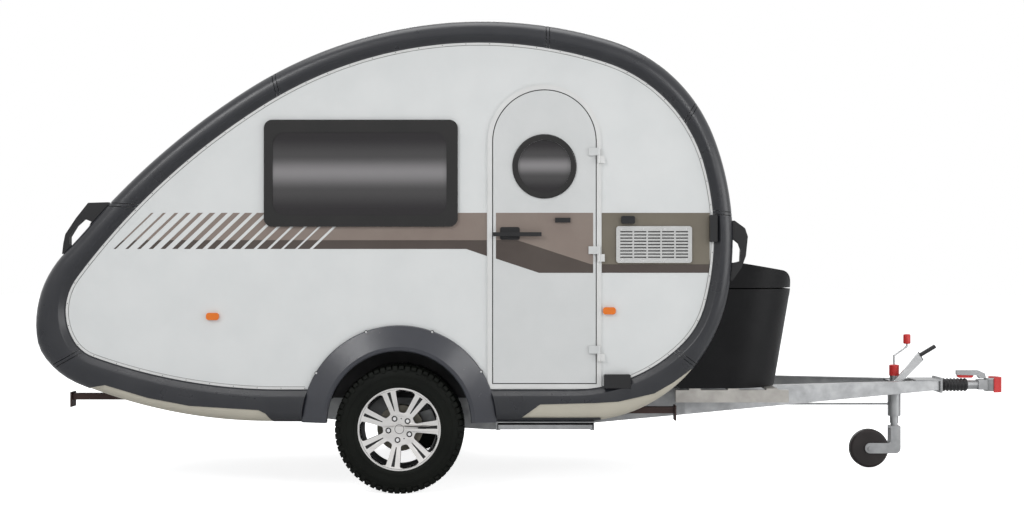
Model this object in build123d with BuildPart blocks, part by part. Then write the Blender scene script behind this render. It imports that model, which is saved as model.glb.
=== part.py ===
from math import atan2, cos, degrees, hypot, radians, sin, tan
import os

from build123d import *

# Teardrop travel trailer, in millimetres. +X is the front, -Y the door side, +Z up.
# The origin is on the ground, under the middle of the whole length.

# Side outlines, drawn clockwise as the door side is seen, from a point on the level bottom.
# Each row is one arc: radius, sweep to the right in degrees. A last arc levels out on the bottom.
SILL_Z = 357
TRIM_START_X = -1391
TRIM_ARCS = [
    (2550, 22.1),
    (395, 32.6),
    (206, 26.8),
    (511, 52.3),
    (3588, -2.9),
    (3604, 16.7),
    (2191, 49.4),
    (803, 52.2),
    (1462, 30.9),
    (834, 27.9),
]
WALL_Z = 520
WALL_START_X = -1337
WALL_ARCS = [
    (2772, 19.7),
    (188, 38.4),
    (282, 68.5),
    (3435, 21.3),
    (2025, 50.2),
    (747, 55.8),
    (1306, 31.4),
    (430, 30.0),
]

# Body shell
HALF_WALL = 955
WALL_THICK = 30
SHELL_REACH = 60
SHELL_THICK = 35
HALF_INSIDE = HALF_WALL - WALL_THICK
TRIM_PROUD = 30
TRIM_WRAP = 95
TRIM_ROUND = 22
TRIM_SEAM = 3
SEAM_LOW_Z = 640
SEAM_REAR_Z = 1500
SEAM_FRONT_Z = 1700
SHELL_MIDDLE_X = -700

# Trim seams: start x, start z, end x, end z
TRIM_SEAMS = [
    (-1378, 2099, -1349, 1984),
    (-8, 2347, -8, 2233),
    (747, 1960, 697, 1884),
    (911, 1393, 772, 1408),
    (730, 639, 651, 696),
    (-2454, 642, -2384, 681),
    (-2213, 1443, -2049, 1433),
]

# Windows
WINDOW_X = -945
WINDOW_Z = 1593
WINDOW_GLASS = (866, 413)
WINDOW_GLASS_ROUND = 60
WINDOW_FRAME = (965, 532)
WINDOW_FRAME_Z = 1597
WINDOW_FRAME_X = -939
WINDOW_FRAME_ROUND = 42
WINDOW_FRAME_PROUD = 14
PANE_THICK = 5
PANE_INSET = 5
END_WINDOW_WIDTH = 1150
END_WINDOW_ROUND = 70
END_PANE_THICK = 6
END_PANE_LAP = 30
REAR_WINDOW_Z = (1090, 1430)
FRONT_WINDOW_Z = (1260, 1620)

# Roof light
ROOFLIGHT_X = -560
ROOFLIGHT_SIZE = 440
ROOFLIGHT_TOP = 2430
ROOFLIGHT_ROUND = 60

# Door
DOOR_X = -25
DOOR_WIDTH = 511
DOOR_BOTTOM = 552
DOOR_TOP = 2010
DOOR_GAP = 5
DOOR_PROUD = 7
FRAME_WIDE = 23
FRAME_PROUD = 8
JAMB_THICK = 9
PORTHOLE_Z = 1631
PORTHOLE_R = 160.5
PORTHOLE_GLASS_R = 131.5
PORTHOLE_PROUD = 8
DOOR_PIVOT_OUT = 20
KNUCKLE_R = 8
KNUCKLE_HALF = 38
KNUCKLE_GAP = 1
HINGE_WIDE = 30
HINGE_HEIGHTS = (700, 1195, 1685)

# Fittings on the door side's wall: x, z, size, stand-out, corner
WALL_FITTINGS = [
    (391, 1365, (68, 38), 22, 8),
    (337, 562, (132, 68), 34, 6),
    (815, 1322, (37, 134), 34, 6),
]

# Wheels
WHEEL_X = -748
WHEEL_Z = 322
TYRE_R = 322
TYRE_WIDE = 205
TYRE_OUT = 985
RIM_R = 207.5
BEAD_R = 190
RIM_THICK = 9
SPOKES = 7
SPOKE_FIRST = -16
SPOKE_WIDE = 66
SPOKE_NARROW = 46
SPOKE_SLOT = 23
SPOKE_THICK = 26
HUB_R = 76
BOLT_CIRCLE_R = 56
BOLTS = 5
BOLT_R = 9
HUB_FACE = 905
DRUM_R = 115
DRUM_DEEP = 60
STUB_R = 20
STUB_CLEAR = 0.5

# Wheel arches
ARCH_X = -748
ARCH_Z = 355
ARCH_OPEN_R = 358
ARCH_OUTER_R = 485
FLARE_OUT = 1005
WELL_R = 375
WELL_THICK = 8
WELL_DEEP = 210

# Chassis
RAIL_OUT = 525
RAIL_WIDE = 45
STEEL = 4
BEAM_TOP = 492
BEAM_X = 724
BEAM_BOTTOM = 351
NOSE_X = 2200
NOSE_OUT = 75
NOSE_BOTTOM = 443
RAIL_REAR_X = -1950
CROSS_MEMBERS = [(-1900, 455), (200, 400), (640, 350)]
AXLE_X = -583
AXLE_Z = 348
AXLE_R = 50
ARM_IN = 715
ARM_THICK = 45

# Coupling
COUPLING_Z = 464
BALL_X = 2510
BALL_R = 25.3
DRAW_TUBE_R = 25
BELLOWS_R = 37.5
BELLOWS_START = 2212
BELLOWS_END = 2370

# Jockey wheel
JOCKEY_X = 1963
JOCKEY_TUBE_R = 24
JOCKEY_STEM_R = 20
JOCKEY_CLEAR = 1
JOCKEY_TOP = 570
JOCKEY_LOW = 250
JOCKEY_AXLE_X = 1819
JOCKEY_R = 108
JOCKEY_WIDE = 60
FORK_THICK = 5
FORK_GAP = 5
CROWN_Z = 235

# Front box
BOX_HALF = 690
BOX_REAR_X = 670
BOX_BOTTOM = 500
BOX_TOP = 1150
BOX_FRONT_LOW = 1217
BOX_FRONT_HIGH = 1298
BOX_FRONT_HIGH_Z = 970
BOX_CORNER_R = 300
BOX_TAPER = 40
BOX_WALL = 10
BOX_BACK_GAP = 12
BOX_SEAM_Z = 1017
LID_GAP = 6
LID_PIVOT_X = 905
LID_PIVOT_Z = 1168
CRADLE_BAR = 8

# Corner steadies: pivot x, pivot z, leg length to the front
STEADIES = {
    "front": (223, 398, 420),
    "rear": (-1930, 468, -500),
}
STEADY_Y = 750
STEADY_WIDE = 50
STEADY_DEEP = 32
STEADY_FOOT = 60
STEADY_CHEEK = 5
STEADY_GAP = 5

# Entrance step
STEP_X = -20
STEP_WIDE = 480
STEP_TOP = 357
STEP_BOTTOM = 314
STEP_OUT = 950
STEP_IN = 600
STEP_WALL = 5
STEP_TREAD_LOW = 320
STEP_TREAD_THICK = 22
STEP_SEAT = 0.3


def side_plane(reach):
    """Upright plane, seen from the door side, at a reach from the middle towards the door side."""
    return Plane.XZ.offset(reach)


def draw_outline(start_x, bottom_z, arcs, offset):
    """Closed side outline of tangent arcs, moved outwards by offset, on the current sketch."""
    x, z, heading = start_x, bottom_z - offset, 180.0
    last_sweep = 360 - sum(sweep for radius, sweep in arcs)
    rows = [(radius + offset if sweep > 0 else radius - offset, sweep) for radius, sweep in arcs]
    for radius, sweep in rows + [(None, last_sweep)]:
        if radius is None:
            radius = (z - bottom_z + offset) / (1 - cos(radians(sweep)))
        JernArc(
            start=(x, z),
            tangent=(cos(radians(heading)), sin(radians(heading))),
            radius=radius,
            arc_size=-sweep,
        )
        side = 1 if sweep > 0 else -1
        centre_x = x + side * radius * sin(radians(heading))
        centre_z = z - side * radius * cos(radians(heading))
        heading -= sweep
        x = centre_x - side * radius * sin(radians(heading))
        z = centre_z + side * radius * cos(radians(heading))
    Line((x, z), (start_x, bottom_z - offset))


def wall_prism(offset, reach, depth, mode=Mode.ADD):
    """Solid inside the wall outline, from a reach, growing outwards by depth."""
    with BuildSketch(side_plane(reach)) as view:
        with BuildLine():
            draw_outline(WALL_START_X, WALL_Z, WALL_ARCS, offset)
        make_face()
    extrude(view.sketch, amount=depth, mode=mode)


def trim_prism(reach, depth, mode=Mode.ADD):
    """Solid inside the trim outline, from a reach, growing outwards by depth."""
    with BuildSketch(side_plane(reach)) as view:
        with BuildLine():
            draw_outline(TRIM_START_X, SILL_Z, TRIM_ARCS, 0)
        make_face()
    extrude(view.sketch, amount=depth, mode=mode)


def side_block(x, z, size, reach, depth, rounding=0, mode=Mode.ADD):
    """Rectangle seen from the side, about x and z, from a reach, growing outwards by depth."""
    with BuildSketch(side_plane(reach)) as view:
        with Locations((x, z)):
            if rounding:
                RectangleRounded(*size, rounding)
            else:
                Rectangle(*size)
    extrude(view.sketch, amount=depth, mode=mode)


def side_disc(x, z, radius, reach, depth, mode=Mode.ADD):
    """Disc seen from the side, about x and z, from a reach, growing outwards by depth."""
    with BuildSketch(side_plane(reach)) as view:
        with Locations((x, z)):
            Circle(radius)
    extrude(view.sketch, amount=depth, mode=mode)


def side_shape(points, reach, depth, mode=Mode.ADD):
    """Straight-sided shape seen from the side, from a reach, growing outwards by depth."""
    with BuildSketch(side_plane(reach)) as view:
        with BuildLine():
            Polyline(*points, close=True)
        make_face()
    extrude(view.sketch, amount=depth, mode=mode)


def upright_block(x, y, size, low, high, mode=Mode.ADD):
    """Rectangle seen from above, about x and y, from a low to a high level."""
    with BuildSketch(Plane.XY.offset(low)) as view:
        with Locations((x, y)):
            Rectangle(*size)
    extrude(view.sketch, amount=high - low, mode=mode)


def upright_disc(x, y, radius, low, high, mode=Mode.ADD):
    """Disc seen from above, about x and y, from a low to a high level."""
    with BuildSketch(Plane.XY.offset(low)) as view:
        with Locations((x, y)):
            Circle(radius)
    extrude(view.sketch, amount=high - low, mode=mode)


def long_disc(z, radius, rear, front, mode=Mode.ADD):
    """Disc seen from the front, on the middle plane at height z, from rear to front."""
    with BuildSketch(Plane.YZ.offset(rear)) as view:
        with Locations((0, z)):
            Circle(radius)
    extrude(view.sketch, amount=front - rear, mode=mode)


def door_shape(grow, reach, depth, mode=Mode.ADD):
    """Door outline with its half-round head, grown by a margin."""
    half = DOOR_WIDTH / 2
    low = DOOR_BOTTOM - grow
    high = DOOR_TOP - half
    with BuildSketch(side_plane(reach)) as view:
        with Locations((DOOR_X, (low + high) / 2)):
            Rectangle(DOOR_WIDTH + 2 * grow, high - low)
        with Locations((DOOR_X, high)):
            Circle(half + grow)
    extrude(view.sketch, amount=depth, mode=mode)


def keep(piece, name):
    """Names a finished piece and writes it."""
    piece.part.label = name
    export_step(piece.part, f"parts/{name}.step")


os.makedirs("parts", exist_ok=True)
window_hole = (WINDOW_GLASS[0], WINDOW_GLASS[1])

# Side walls. The far one has no door.
with BuildPart() as sidewall_left_blank:
    wall_prism(SHELL_REACH, HALF_INSIDE, WALL_THICK)
    side_block(WINDOW_X, WINDOW_Z, window_hole, HALF_INSIDE, WALL_THICK, WINDOW_GLASS_ROUND, Mode.SUBTRACT)
    side_disc(ARCH_X, ARCH_Z, WELL_R, HALF_INSIDE, WALL_THICK, Mode.SUBTRACT)

with BuildPart() as sidewall_right:
    add(sidewall_left_blank.part)
    door_shape(DOOR_GAP + JAMB_THICK, HALF_INSIDE, WALL_THICK, Mode.SUBTRACT)
keep(sidewall_right, "sidewall_right")

with BuildPart() as sidewall_left:
    mirror(sidewall_left_blank.part, about=Plane.XZ)
keep(sidewall_left, "sidewall_left")

# Shell between the walls, split at its cross seams
with BuildPart() as shell_ring:
    wall_prism(SHELL_REACH, -HALF_INSIDE, 2 * HALF_INSIDE)
    wall_prism(SHELL_REACH - SHELL_THICK, -HALF_INSIDE, 2 * HALF_INSIDE, Mode.SUBTRACT)

with BuildPart() as floor_panel:
    add(shell_ring.part)
    upright_block(SHELL_MIDDLE_X, 0, (6000, 3000), SEAM_LOW_Z, 3000, Mode.SUBTRACT)
    side_disc(ARCH_X, ARCH_Z, WELL_R, HALF_WALL - WELL_DEEP, WELL_DEEP, Mode.SUBTRACT)
    side_disc(ARCH_X, ARCH_Z, WELL_R, -HALF_WALL, WELL_DEEP, Mode.SUBTRACT)
keep(floor_panel, "floor_panel")

with BuildPart() as rear_panel:
    add(shell_ring.part)
    upright_block(SHELL_MIDDLE_X - 1500, 0, (3000, 3000), SEAM_LOW_Z, SEAM_REAR_Z, Mode.INTERSECT)
    upright_block(-2400, 0, (1000, END_WINDOW_WIDTH), *REAR_WINDOW_Z, Mode.SUBTRACT)
keep(rear_panel, "rear_panel")

with BuildPart() as front_panel:
    add(shell_ring.part)
    upright_block(SHELL_MIDDLE_X + 1500, 0, (3000, 3000), SEAM_LOW_Z, SEAM_FRONT_Z, Mode.INTERSECT)
    upright_block(900, 0, (600, END_WINDOW_WIDTH), *FRONT_WINDOW_Z, Mode.SUBTRACT)
keep(front_panel, "front_panel")

with BuildPart() as roof_panel:
    add(shell_ring.part)
    upright_block(SHELL_MIDDLE_X - 1500, 0, (3000, 3000), 0, SEAM_REAR_Z, Mode.SUBTRACT)
    upright_block(SHELL_MIDDLE_X + 1500, 0, (3000, 3000), 0, SEAM_FRONT_Z, Mode.SUBTRACT)
    upright_block(ROOFLIGHT_X, 0, (ROOFLIGHT_SIZE - 60, ROOFLIGHT_SIZE - 60), 2000, 3000, Mode.SUBTRACT)
keep(roof_panel, "roof_panel")

# Arch trims: a band on the wall's edge, wrapped over the shell
with BuildPart() as arch_trim_blank:
    trim_prism(HALF_WALL - TRIM_WRAP, TRIM_WRAP + TRIM_PROUD)
    fillet(arch_trim_blank.faces().sort_by(Axis.Y)[0].edges(), TRIM_ROUND)
    wall_prism(SHELL_REACH, HALF_WALL - TRIM_WRAP, TRIM_WRAP, Mode.SUBTRACT)
    wall_prism(0, HALF_WALL, TRIM_PROUD, Mode.SUBTRACT)
    side_disc(ARCH_X, ARCH_Z, ARCH_OUTER_R, HALF_WALL - TRIM_WRAP, TRIM_WRAP + TRIM_PROUD, Mode.SUBTRACT)
    side_block(
        ARCH_X,
        ARCH_Z - ARCH_OUTER_R / 2,
        (2 * ARCH_OUTER_R, ARCH_OUTER_R),
        HALF_WALL - TRIM_WRAP,
        TRIM_WRAP + TRIM_PROUD,
        mode=Mode.SUBTRACT,
    )
    for start_x, start_z, end_x, end_z in TRIM_SEAMS:
        run = hypot(end_x - start_x, end_z - start_z)
        turn = degrees(atan2(end_z - start_z, end_x - start_x))
        with BuildSketch(side_plane(HALF_WALL - TRIM_WRAP)):
            with Locations(Location(((start_x + end_x) / 2, (start_z + end_z) / 2), turn)):
                Rectangle(run + 120, TRIM_SEAM)
        extrude(amount=TRIM_WRAP + TRIM_PROUD, mode=Mode.SUBTRACT)

with BuildPart() as arch_trim_left:
    mirror(arch_trim_blank.part, about=Plane.XZ)
keep(arch_trim_left, "arch_trim_left")

with BuildPart() as arch_trim_right:
    add(arch_trim_blank.part)
    for fitting_x, fitting_z, size, proud, rounding in WALL_FITTINGS:
        side_block(fitting_x, fitting_z, size, HALF_WALL, proud, rounding, Mode.SUBTRACT)
keep(arch_trim_right, "arch_trim_right")

# Wheel arch flares, with legs that close the sill's ends
with BuildPart() as wheel_flares:
    with BuildSketch(Plane.XY):
        with BuildLine():
            Polyline(
                (ARCH_OPEN_R, HALF_WALL),
                (ARCH_OPEN_R, FLARE_OUT - 6),
                (ARCH_OPEN_R + 6, FLARE_OUT),
                (ARCH_OPEN_R + 22, FLARE_OUT),
                (ARCH_OUTER_R - 4, HALF_WALL + 16),
                (ARCH_OUTER_R, HALF_WALL + 12),
                (ARCH_OUTER_R, HALF_WALL),
                close=True,
            )
        make_face()
    revolve(axis=Axis.Y, revolution_arc=360)
keep_flare = wheel_flares.part.move(Location((ARCH_X, 0, ARCH_Z)))
with BuildPart() as wheel_flares:
    mirror(keep_flare, about=Plane.XZ)
    with BuildSketch(side_plane(HALF_WALL - TRIM_WRAP)):
        with Locations((ARCH_X, ARCH_Z)):
            Circle(ARCH_OUTER_R)
            Circle(WELL_R + 2, mode=Mode.SUBTRACT)
    extrude(amount=TRIM_WRAP)
    wall_prism(SHELL_REACH, 0, HALF_WALL, Mode.SUBTRACT)
    upright_block(ARCH_X, -HALF_WALL, (3000, 3000), -500, SILL_Z, Mode.SUBTRACT)
    mirror(about=Plane.XZ)
keep(wheel_flares, "wheel_flares")

# Wheel wells inside the cabin
with BuildPart() as wheel_wells:
    side_disc(ARCH_X, ARCH_Z, WELL_R, HALF_WALL - WELL_DEEP, WELL_DEEP)
    side_disc(
        ARCH_X,
        ARCH_Z,
        WELL_R - WELL_THICK,
        HALF_WALL - WELL_DEEP + WELL_THICK,
        WELL_DEEP,
        Mode.SUBTRACT,
    )
    upright_block(ARCH_X, -HALF_WALL, (3000, 1000), -500, WALL_Z - SHELL_REACH, Mode.SUBTRACT)
    mirror(about=Plane.XZ)
keep(wheel_wells, "wheel_wells")

# Side windows
with BuildPart() as window_frames:
    side_block(
        WINDOW_FRAME_X, WINDOW_FRAME_Z, WINDOW_FRAME, HALF_WALL, WINDOW_FRAME_PROUD, WINDOW_FRAME_ROUND
    )
    side_block(
        WINDOW_X, WINDOW_Z, WINDOW_GLASS, HALF_WALL, WINDOW_FRAME_PROUD, WINDOW_GLASS_ROUND, Mode.SUBTRACT
    )
    mirror(about=Plane.XZ)
keep(window_frames, "window_frames")

# Rear and front panes lap over the shell
with BuildPart() as end_windows:
    for middle_x, heights in ((-2400, REAR_WINDOW_Z), (900, FRONT_WINDOW_Z)):
        with BuildSketch(Plane.YZ.offset(middle_x - 500)):
            with Locations((0, (heights[0] + heights[1]) / 2)):
                RectangleRounded(
                    END_WINDOW_WIDTH + 2 * END_PANE_LAP,
                    heights[1] - heights[0] + 2 * END_PANE_LAP,
                    END_WINDOW_ROUND,
                )
        extrude(amount=1000)
    wall_prism(SHELL_REACH + END_PANE_THICK, -HALF_INSIDE, 2 * HALF_INSIDE, Mode.INTERSECT)
    wall_prism(SHELL_REACH, -HALF_INSIDE, 2 * HALF_INSIDE, Mode.SUBTRACT)

with BuildPart() as window_panes:
    side_block(
        WINDOW_X,
        WINDOW_Z,
        WINDOW_GLASS,
        HALF_WALL + WINDOW_FRAME_PROUD - PANE_INSET - PANE_THICK,
        PANE_THICK,
        WINDOW_GLASS_ROUND,
    )
    mirror(about=Plane.XZ)
    add(end_windows.part)
keep(window_panes, "window_panes")

# Roof light
with BuildPart() as rooflight:
    with BuildSketch(Plane.XY.offset(2200)):
        with Locations((ROOFLIGHT_X, 0)):
            RectangleRounded(ROOFLIGHT_SIZE, ROOFLIGHT_SIZE, ROOFLIGHT_ROUND)
    extrude(amount=ROOFLIGHT_TOP - 2200)
    fillet(rooflight.faces().sort_by(Axis.Z)[-1].edges(), 30)
    wall_prism(SHELL_REACH, -HALF_INSIDE, 2 * HALF_INSIDE, Mode.SUBTRACT)
keep(rooflight, "rooflight")

# Door frame with the fixed hinge leaves
door_pivot_x = DOOR_X + DOOR_WIDTH / 2 + DOOR_GAP + JAMB_THICK
door_pivot_reach = HALF_WALL + DOOR_PIVOT_OUT
with BuildPart() as door_frame:
    door_shape(DOOR_GAP + FRAME_WIDE, HALF_WALL, FRAME_PROUD)
    wall_prism(0, HALF_WALL, FRAME_PROUD, Mode.INTERSECT)
    side_disc(ARCH_X, ARCH_Z, ARCH_OUTER_R, HALF_WALL, FRAME_PROUD, Mode.SUBTRACT)
    door_shape(DOOR_GAP + JAMB_THICK, HALF_INSIDE, WALL_THICK)
    door_shape(DOOR_GAP, HALF_INSIDE, WALL_THICK + FRAME_PROUD, Mode.SUBTRACT)
    for height in HINGE_HEIGHTS:
        low = height - KNUCKLE_HALF
        upright_disc(door_pivot_x, -door_pivot_reach, KNUCKLE_R, low, height - KNUCKLE_GAP)
        upright_block(
            door_pivot_x + HINGE_WIDE / 2,
            -(HALF_WALL + DOOR_PIVOT_OUT / 2),
            (HINGE_WIDE, DOOR_PIVOT_OUT),
            low,
            height - KNUCKLE_GAP,
        )
        upright_disc(door_pivot_x, -door_pivot_reach, KNUCKLE_R / 2, low, height + KNUCKLE_HALF)
keep(door_frame, "door_frame")

# Door leaf with the moving hinge leaves
with BuildPart() as door_panel:
    door_shape(0, HALF_INSIDE, WALL_THICK + DOOR_PROUD)
    side_disc(DOOR_X, PORTHOLE_Z, PORTHOLE_GLASS_R, HALF_INSIDE, WALL_THICK + DOOR_PROUD, Mode.SUBTRACT)
    for height in HINGE_HEIGHTS:
        high = height + KNUCKLE_HALF
        upright_disc(door_pivot_x, -door_pivot_reach, KNUCKLE_R, height, high)
        with BuildSketch(Plane.XY.offset(height)):
            with BuildLine():
                Polyline(
                    (door_pivot_x - 50, -(HALF_WALL + DOOR_PROUD)),
                    (door_pivot_x - 22, -(HALF_WALL + DOOR_PROUD)),
                    (door_pivot_x, -(door_pivot_reach - KNUCKLE_R / 2)),
                    (door_pivot_x, -(door_pivot_reach + KNUCKLE_R)),
                    (door_pivot_x - 50, -(HALF_WALL + DOOR_PROUD + 8)),
                    close=True,
                )
            make_face()
        extrude(amount=KNUCKLE_HALF)
        upright_disc(
            door_pivot_x, -door_pivot_reach, KNUCKLE_R / 2 + 0.3, height - 5, high + 5, Mode.SUBTRACT
        )
keep(door_panel, "door_panel")

with BuildPart() as porthole_ring:
    side_disc(DOOR_X, PORTHOLE_Z, PORTHOLE_R, HALF_WALL + DOOR_PROUD, PORTHOLE_PROUD)
    fillet(porthole_ring.faces().sort_by(Axis.Y)[0].edges(), 5)
    side_disc(DOOR_X, PORTHOLE_Z, PORTHOLE_GLASS_R, HALF_WALL, 100, Mode.SUBTRACT)
keep(porthole_ring, "porthole_ring")

with BuildPart() as porthole_glass:
    side_disc(DOOR_X, PORTHOLE_Z, PORTHOLE_GLASS_R, HALF_WALL, PANE_THICK)
keep(porthole_glass, "porthole_glass")

with BuildPart() as door_handle:
    side_block(-197, 1297, (98, 64), HALF_WALL + DOOR_PROUD, 6, 10)
    side_block(-160, 1293, (240, 20), HALF_WALL + DOOR_PROUD + 20, 12)
    side_block(-215, 1293, (40, 40), HALF_WALL + DOOR_PROUD + 6, 14, 8)
keep(door_handle, "door_handle")

# Refrigerator vent in the side wall
VENT_X = 521
VENT_Z = 1242
VENT_SIZE = (377, 183)
VENT_PROUD = 12
LOUVRES = 10
with BuildPart() as fridge_vent:
    side_block(VENT_X, VENT_Z, VENT_SIZE, HALF_WALL, VENT_PROUD, 14)
    louvre_pitch = (VENT_SIZE[1] - 40) / LOUVRES
    for row in range(LOUVRES):
        louvre_z = VENT_Z + (row - (LOUVRES - 1) / 2) * louvre_pitch
        side_block(
            VENT_X, louvre_z, (VENT_SIZE[0] - 50, louvre_pitch / 2), HALF_WALL + 4, 20, mode=Mode.SUBTRACT
        )
keep(fridge_vent, "fridge_vent")

# Side marker lamps and the fittings on the door side's wall
with BuildPart() as marker_lamps:
    for lamp_x, lamp_z in ((-1677, 884), (298, 912)):
        side_block(lamp_x, lamp_z, (64, 36), HALF_WALL, 16, 14)
    mirror(about=Plane.XZ)

with BuildPart() as wall_fittings:
    for fitting_x, fitting_z, size, proud, rounding in WALL_FITTINGS:
        side_block(fitting_x, fitting_z, size, HALF_WALL, proud, rounding)
keep(wall_fittings, "wall_fittings")

# Rear bumper and lamps
BUMPER_OUT = -2560
BUMPER_LOW = 690
BUMPER_HIGH = 790
BUMPER_HALF = 850
with BuildPart() as rear_bumper:
    with BuildSketch(Plane.XY.offset(BUMPER_LOW)):
        with Locations((BUMPER_OUT + 150, 0)):
            RectangleRounded(300, 2 * BUMPER_HALF, 60)
    extrude(amount=BUMPER_HIGH - BUMPER_LOW)
    fillet(rear_bumper.edges().filter_by(GeomType.LINE).filter_by(Axis.Y).sort_by(Axis.X)[0:2], 20)
    wall_prism(SHELL_REACH, -HALF_WALL, 2 * HALF_WALL, Mode.SUBTRACT)
keep(rear_bumper, "rear_bumper")

with BuildPart() as outside_lamps:
    for lamp_y, lamp_z in ((760, 900), (-760, 900), (640, 900), (-640, 900)):
        with BuildSketch(Plane.YZ.offset(-2600)):
            with Locations((lamp_y, lamp_z)):
                Circle(48)
        extrude(amount=400)
    wall_prism(SHELL_REACH + 14, -HALF_WALL, 2 * HALF_WALL, Mode.INTERSECT)
    wall_prism(SHELL_REACH, -HALF_WALL, 2 * HALF_WALL, Mode.SUBTRACT)
    add(marker_lamps.part)
keep(outside_lamps, "outside_lamps")

# Grab handles at the corners, seated on the trims
GRAB_IN = 895
GRAB_WIDE = 45
REAR_GRAB = [(-2434, 1195), (-2428, 1247), (-2418, 1294), (-2365, 1374), (-2304, 1451), (-2204, 1454), (-2204, 1300)]
REAR_GRAB_HOLE = [(-2398, 1240), (-2398, 1280), (-2365, 1334), (-2324, 1371), (-2288, 1357), (-2350, 1230)]
FRONT_GRAB = [(880, 1362), (926, 1362), (978, 1324), (992, 1282), (982, 1185), (961, 1128), (915, 1062), (880, 1062)]
FRONT_GRAB_HOLE = [(880, 1265), (926, 1265), (947, 1247), (957, 1219), (954, 1160), (926, 1152), (880, 1152)]
with BuildPart() as grab_handles:
    for outer, hole in ((REAR_GRAB, REAR_GRAB_HOLE), (FRONT_GRAB, FRONT_GRAB_HOLE)):
        side_shape(outer, GRAB_IN, GRAB_WIDE)
        side_shape(hole, GRAB_IN, GRAB_WIDE, Mode.SUBTRACT)
    trim_prism(GRAB_IN, GRAB_WIDE, Mode.SUBTRACT)
    mirror(about=Plane.XZ)
keep(grab_handles, "grab_handles")


# Front box: a side profile met by a plan outline that leans with the front
def box_block(inset):
    """The front box's outer form, drawn in by inset."""
    lean = (BOX_FRONT_HIGH - BOX_FRONT_LOW) / (BOX_FRONT_HIGH_Z - BOX_BOTTOM)
    profile = [
        (BOX_REAR_X, BOX_BOTTOM),
        (BOX_FRONT_LOW, BOX_BOTTOM),
        (BOX_FRONT_HIGH, BOX_FRONT_HIGH_Z),
        (BOX_FRONT_HIGH - 15, BOX_TOP - 47),
        (BOX_FRONT_HIGH - 298, BOX_TOP),
        (BOX_REAR_X, BOX_TOP),
    ]
    with BuildSketch(side_plane(-(BOX_HALF - inset))) as view:
        with BuildLine():
            FilletPolyline(*profile, radius=[15, 30, 150, 70, 200, 15], close=True)
        make_face()
        if inset:
            offset(amount=-inset, mode=Mode.REPLACE)
    extrude(view.sketch, amount=2 * (BOX_HALF - inset))
    low = BOX_BOTTOM - 50
    rise = BOX_TOP + 100 - low
    front = BOX_FRONT_LOW - 50 * lean - inset
    rear = BOX_REAR_X - 200
    half = BOX_HALF - inset
    with BuildSketch(Plane.XY.offset(low)) as plan:
        with BuildLine():
            FilletPolyline(
                (rear, -half),
                (front, -half + BOX_TAPER),
                (front, half - BOX_TAPER),
                (rear, half),
                radius=[1, BOX_CORNER_R - inset, BOX_CORNER_R - inset, 1],
                close=True,
            )
        make_face()
    extrude(plan.sketch, amount=rise * hypot(1, lean), dir=(lean, 0, 1), mode=Mode.INTERSECT)
    wall_prism(SHELL_REACH + BOX_BACK_GAP + inset, -BOX_HALF, 2 * BOX_HALF, Mode.SUBTRACT)


with BuildPart() as box_outside:
    box_block(0)

with BuildPart() as box_inside:
    box_block(BOX_WALL)

with BuildPart() as front_box_tub:
    add(box_outside.part)
    add(box_inside.part, mode=Mode.SUBTRACT)
    upright_block(BOX_FRONT_LOW, 0, (2000, 3 * BOX_HALF), BOX_SEAM_Z - LID_GAP / 2, 2000, Mode.SUBTRACT)
keep(front_box_tub, "front_box_tub")

with BuildPart() as front_box_lid:
    add(box_outside.part)
    add(box_inside.part, mode=Mode.SUBTRACT)
    upright_block(BOX_FRONT_LOW, 0, (2000, 3 * BOX_HALF), 0, BOX_SEAM_Z + LID_GAP / 2, Mode.SUBTRACT)
    for lid_y in (-400, 400):
        upright_block(LID_PIVOT_X + 10, lid_y, (40, 60), BOX_TOP, LID_PIVOT_Z + 7)
        with BuildSketch(side_plane(-lid_y - 30)):
            with Locations((LID_PIVOT_X, LID_PIVOT_Z)):
                Circle(4.4)
        extrude(amount=60, mode=Mode.SUBTRACT)
keep(front_box_lid, "front_box_lid")

with BuildPart() as lid_hinges:
    for lid_y in (-400, 400):
        side_disc(LID_PIVOT_X, LID_PIVOT_Z, 4, -lid_y - 38, 76)
        for cheek_y in (-35.5, 35.5):
            side_block(LID_PIVOT_X - 25, LID_PIVOT_Z, (64, 16), -lid_y + cheek_y - 2.5, 5)
    wall_prism(SHELL_REACH, -BOX_HALF, 2 * BOX_HALF, Mode.SUBTRACT)
keep(lid_hinges, "lid_hinges")

# Cradle under the front box: flat bars over the drawbar, side channels at their ends
CRADLE_X = (660, 1245)
CRADLE_DEEP = 64
CRADLE_WIDE = 30
with BuildPart() as box_cradle:
    for bar_x in (760, 960, 1160):
        upright_block(bar_x, 0, (60, 2 * BOX_HALF - 30), BOX_BOTTOM - CRADLE_BAR, BOX_BOTTOM)
    for rail_y in (-BOX_HALF + 30, BOX_HALF - 30):
        upright_block(
            sum(CRADLE_X) / 2,
            rail_y,
            (CRADLE_X[1] - CRADLE_X[0], CRADLE_WIDE),
            BOX_BOTTOM - CRADLE_BAR - CRADLE_DEEP,
            BOX_BOTTOM - CRADLE_BAR,
        )
keep(box_cradle, "box_cradle")


# Chassis
def beam_plane():
    """Upright plane of the right drawbar beam's outer face."""
    turn = atan2(RAIL_OUT - NOSE_OUT, NOSE_X - BEAM_X)
    return Plane(
        origin=(BEAM_X, -RAIL_OUT, 0),
        x_dir=(cos(turn), sin(turn), 0),
        z_dir=(sin(turn), -cos(turn), 0),
    )


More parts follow.
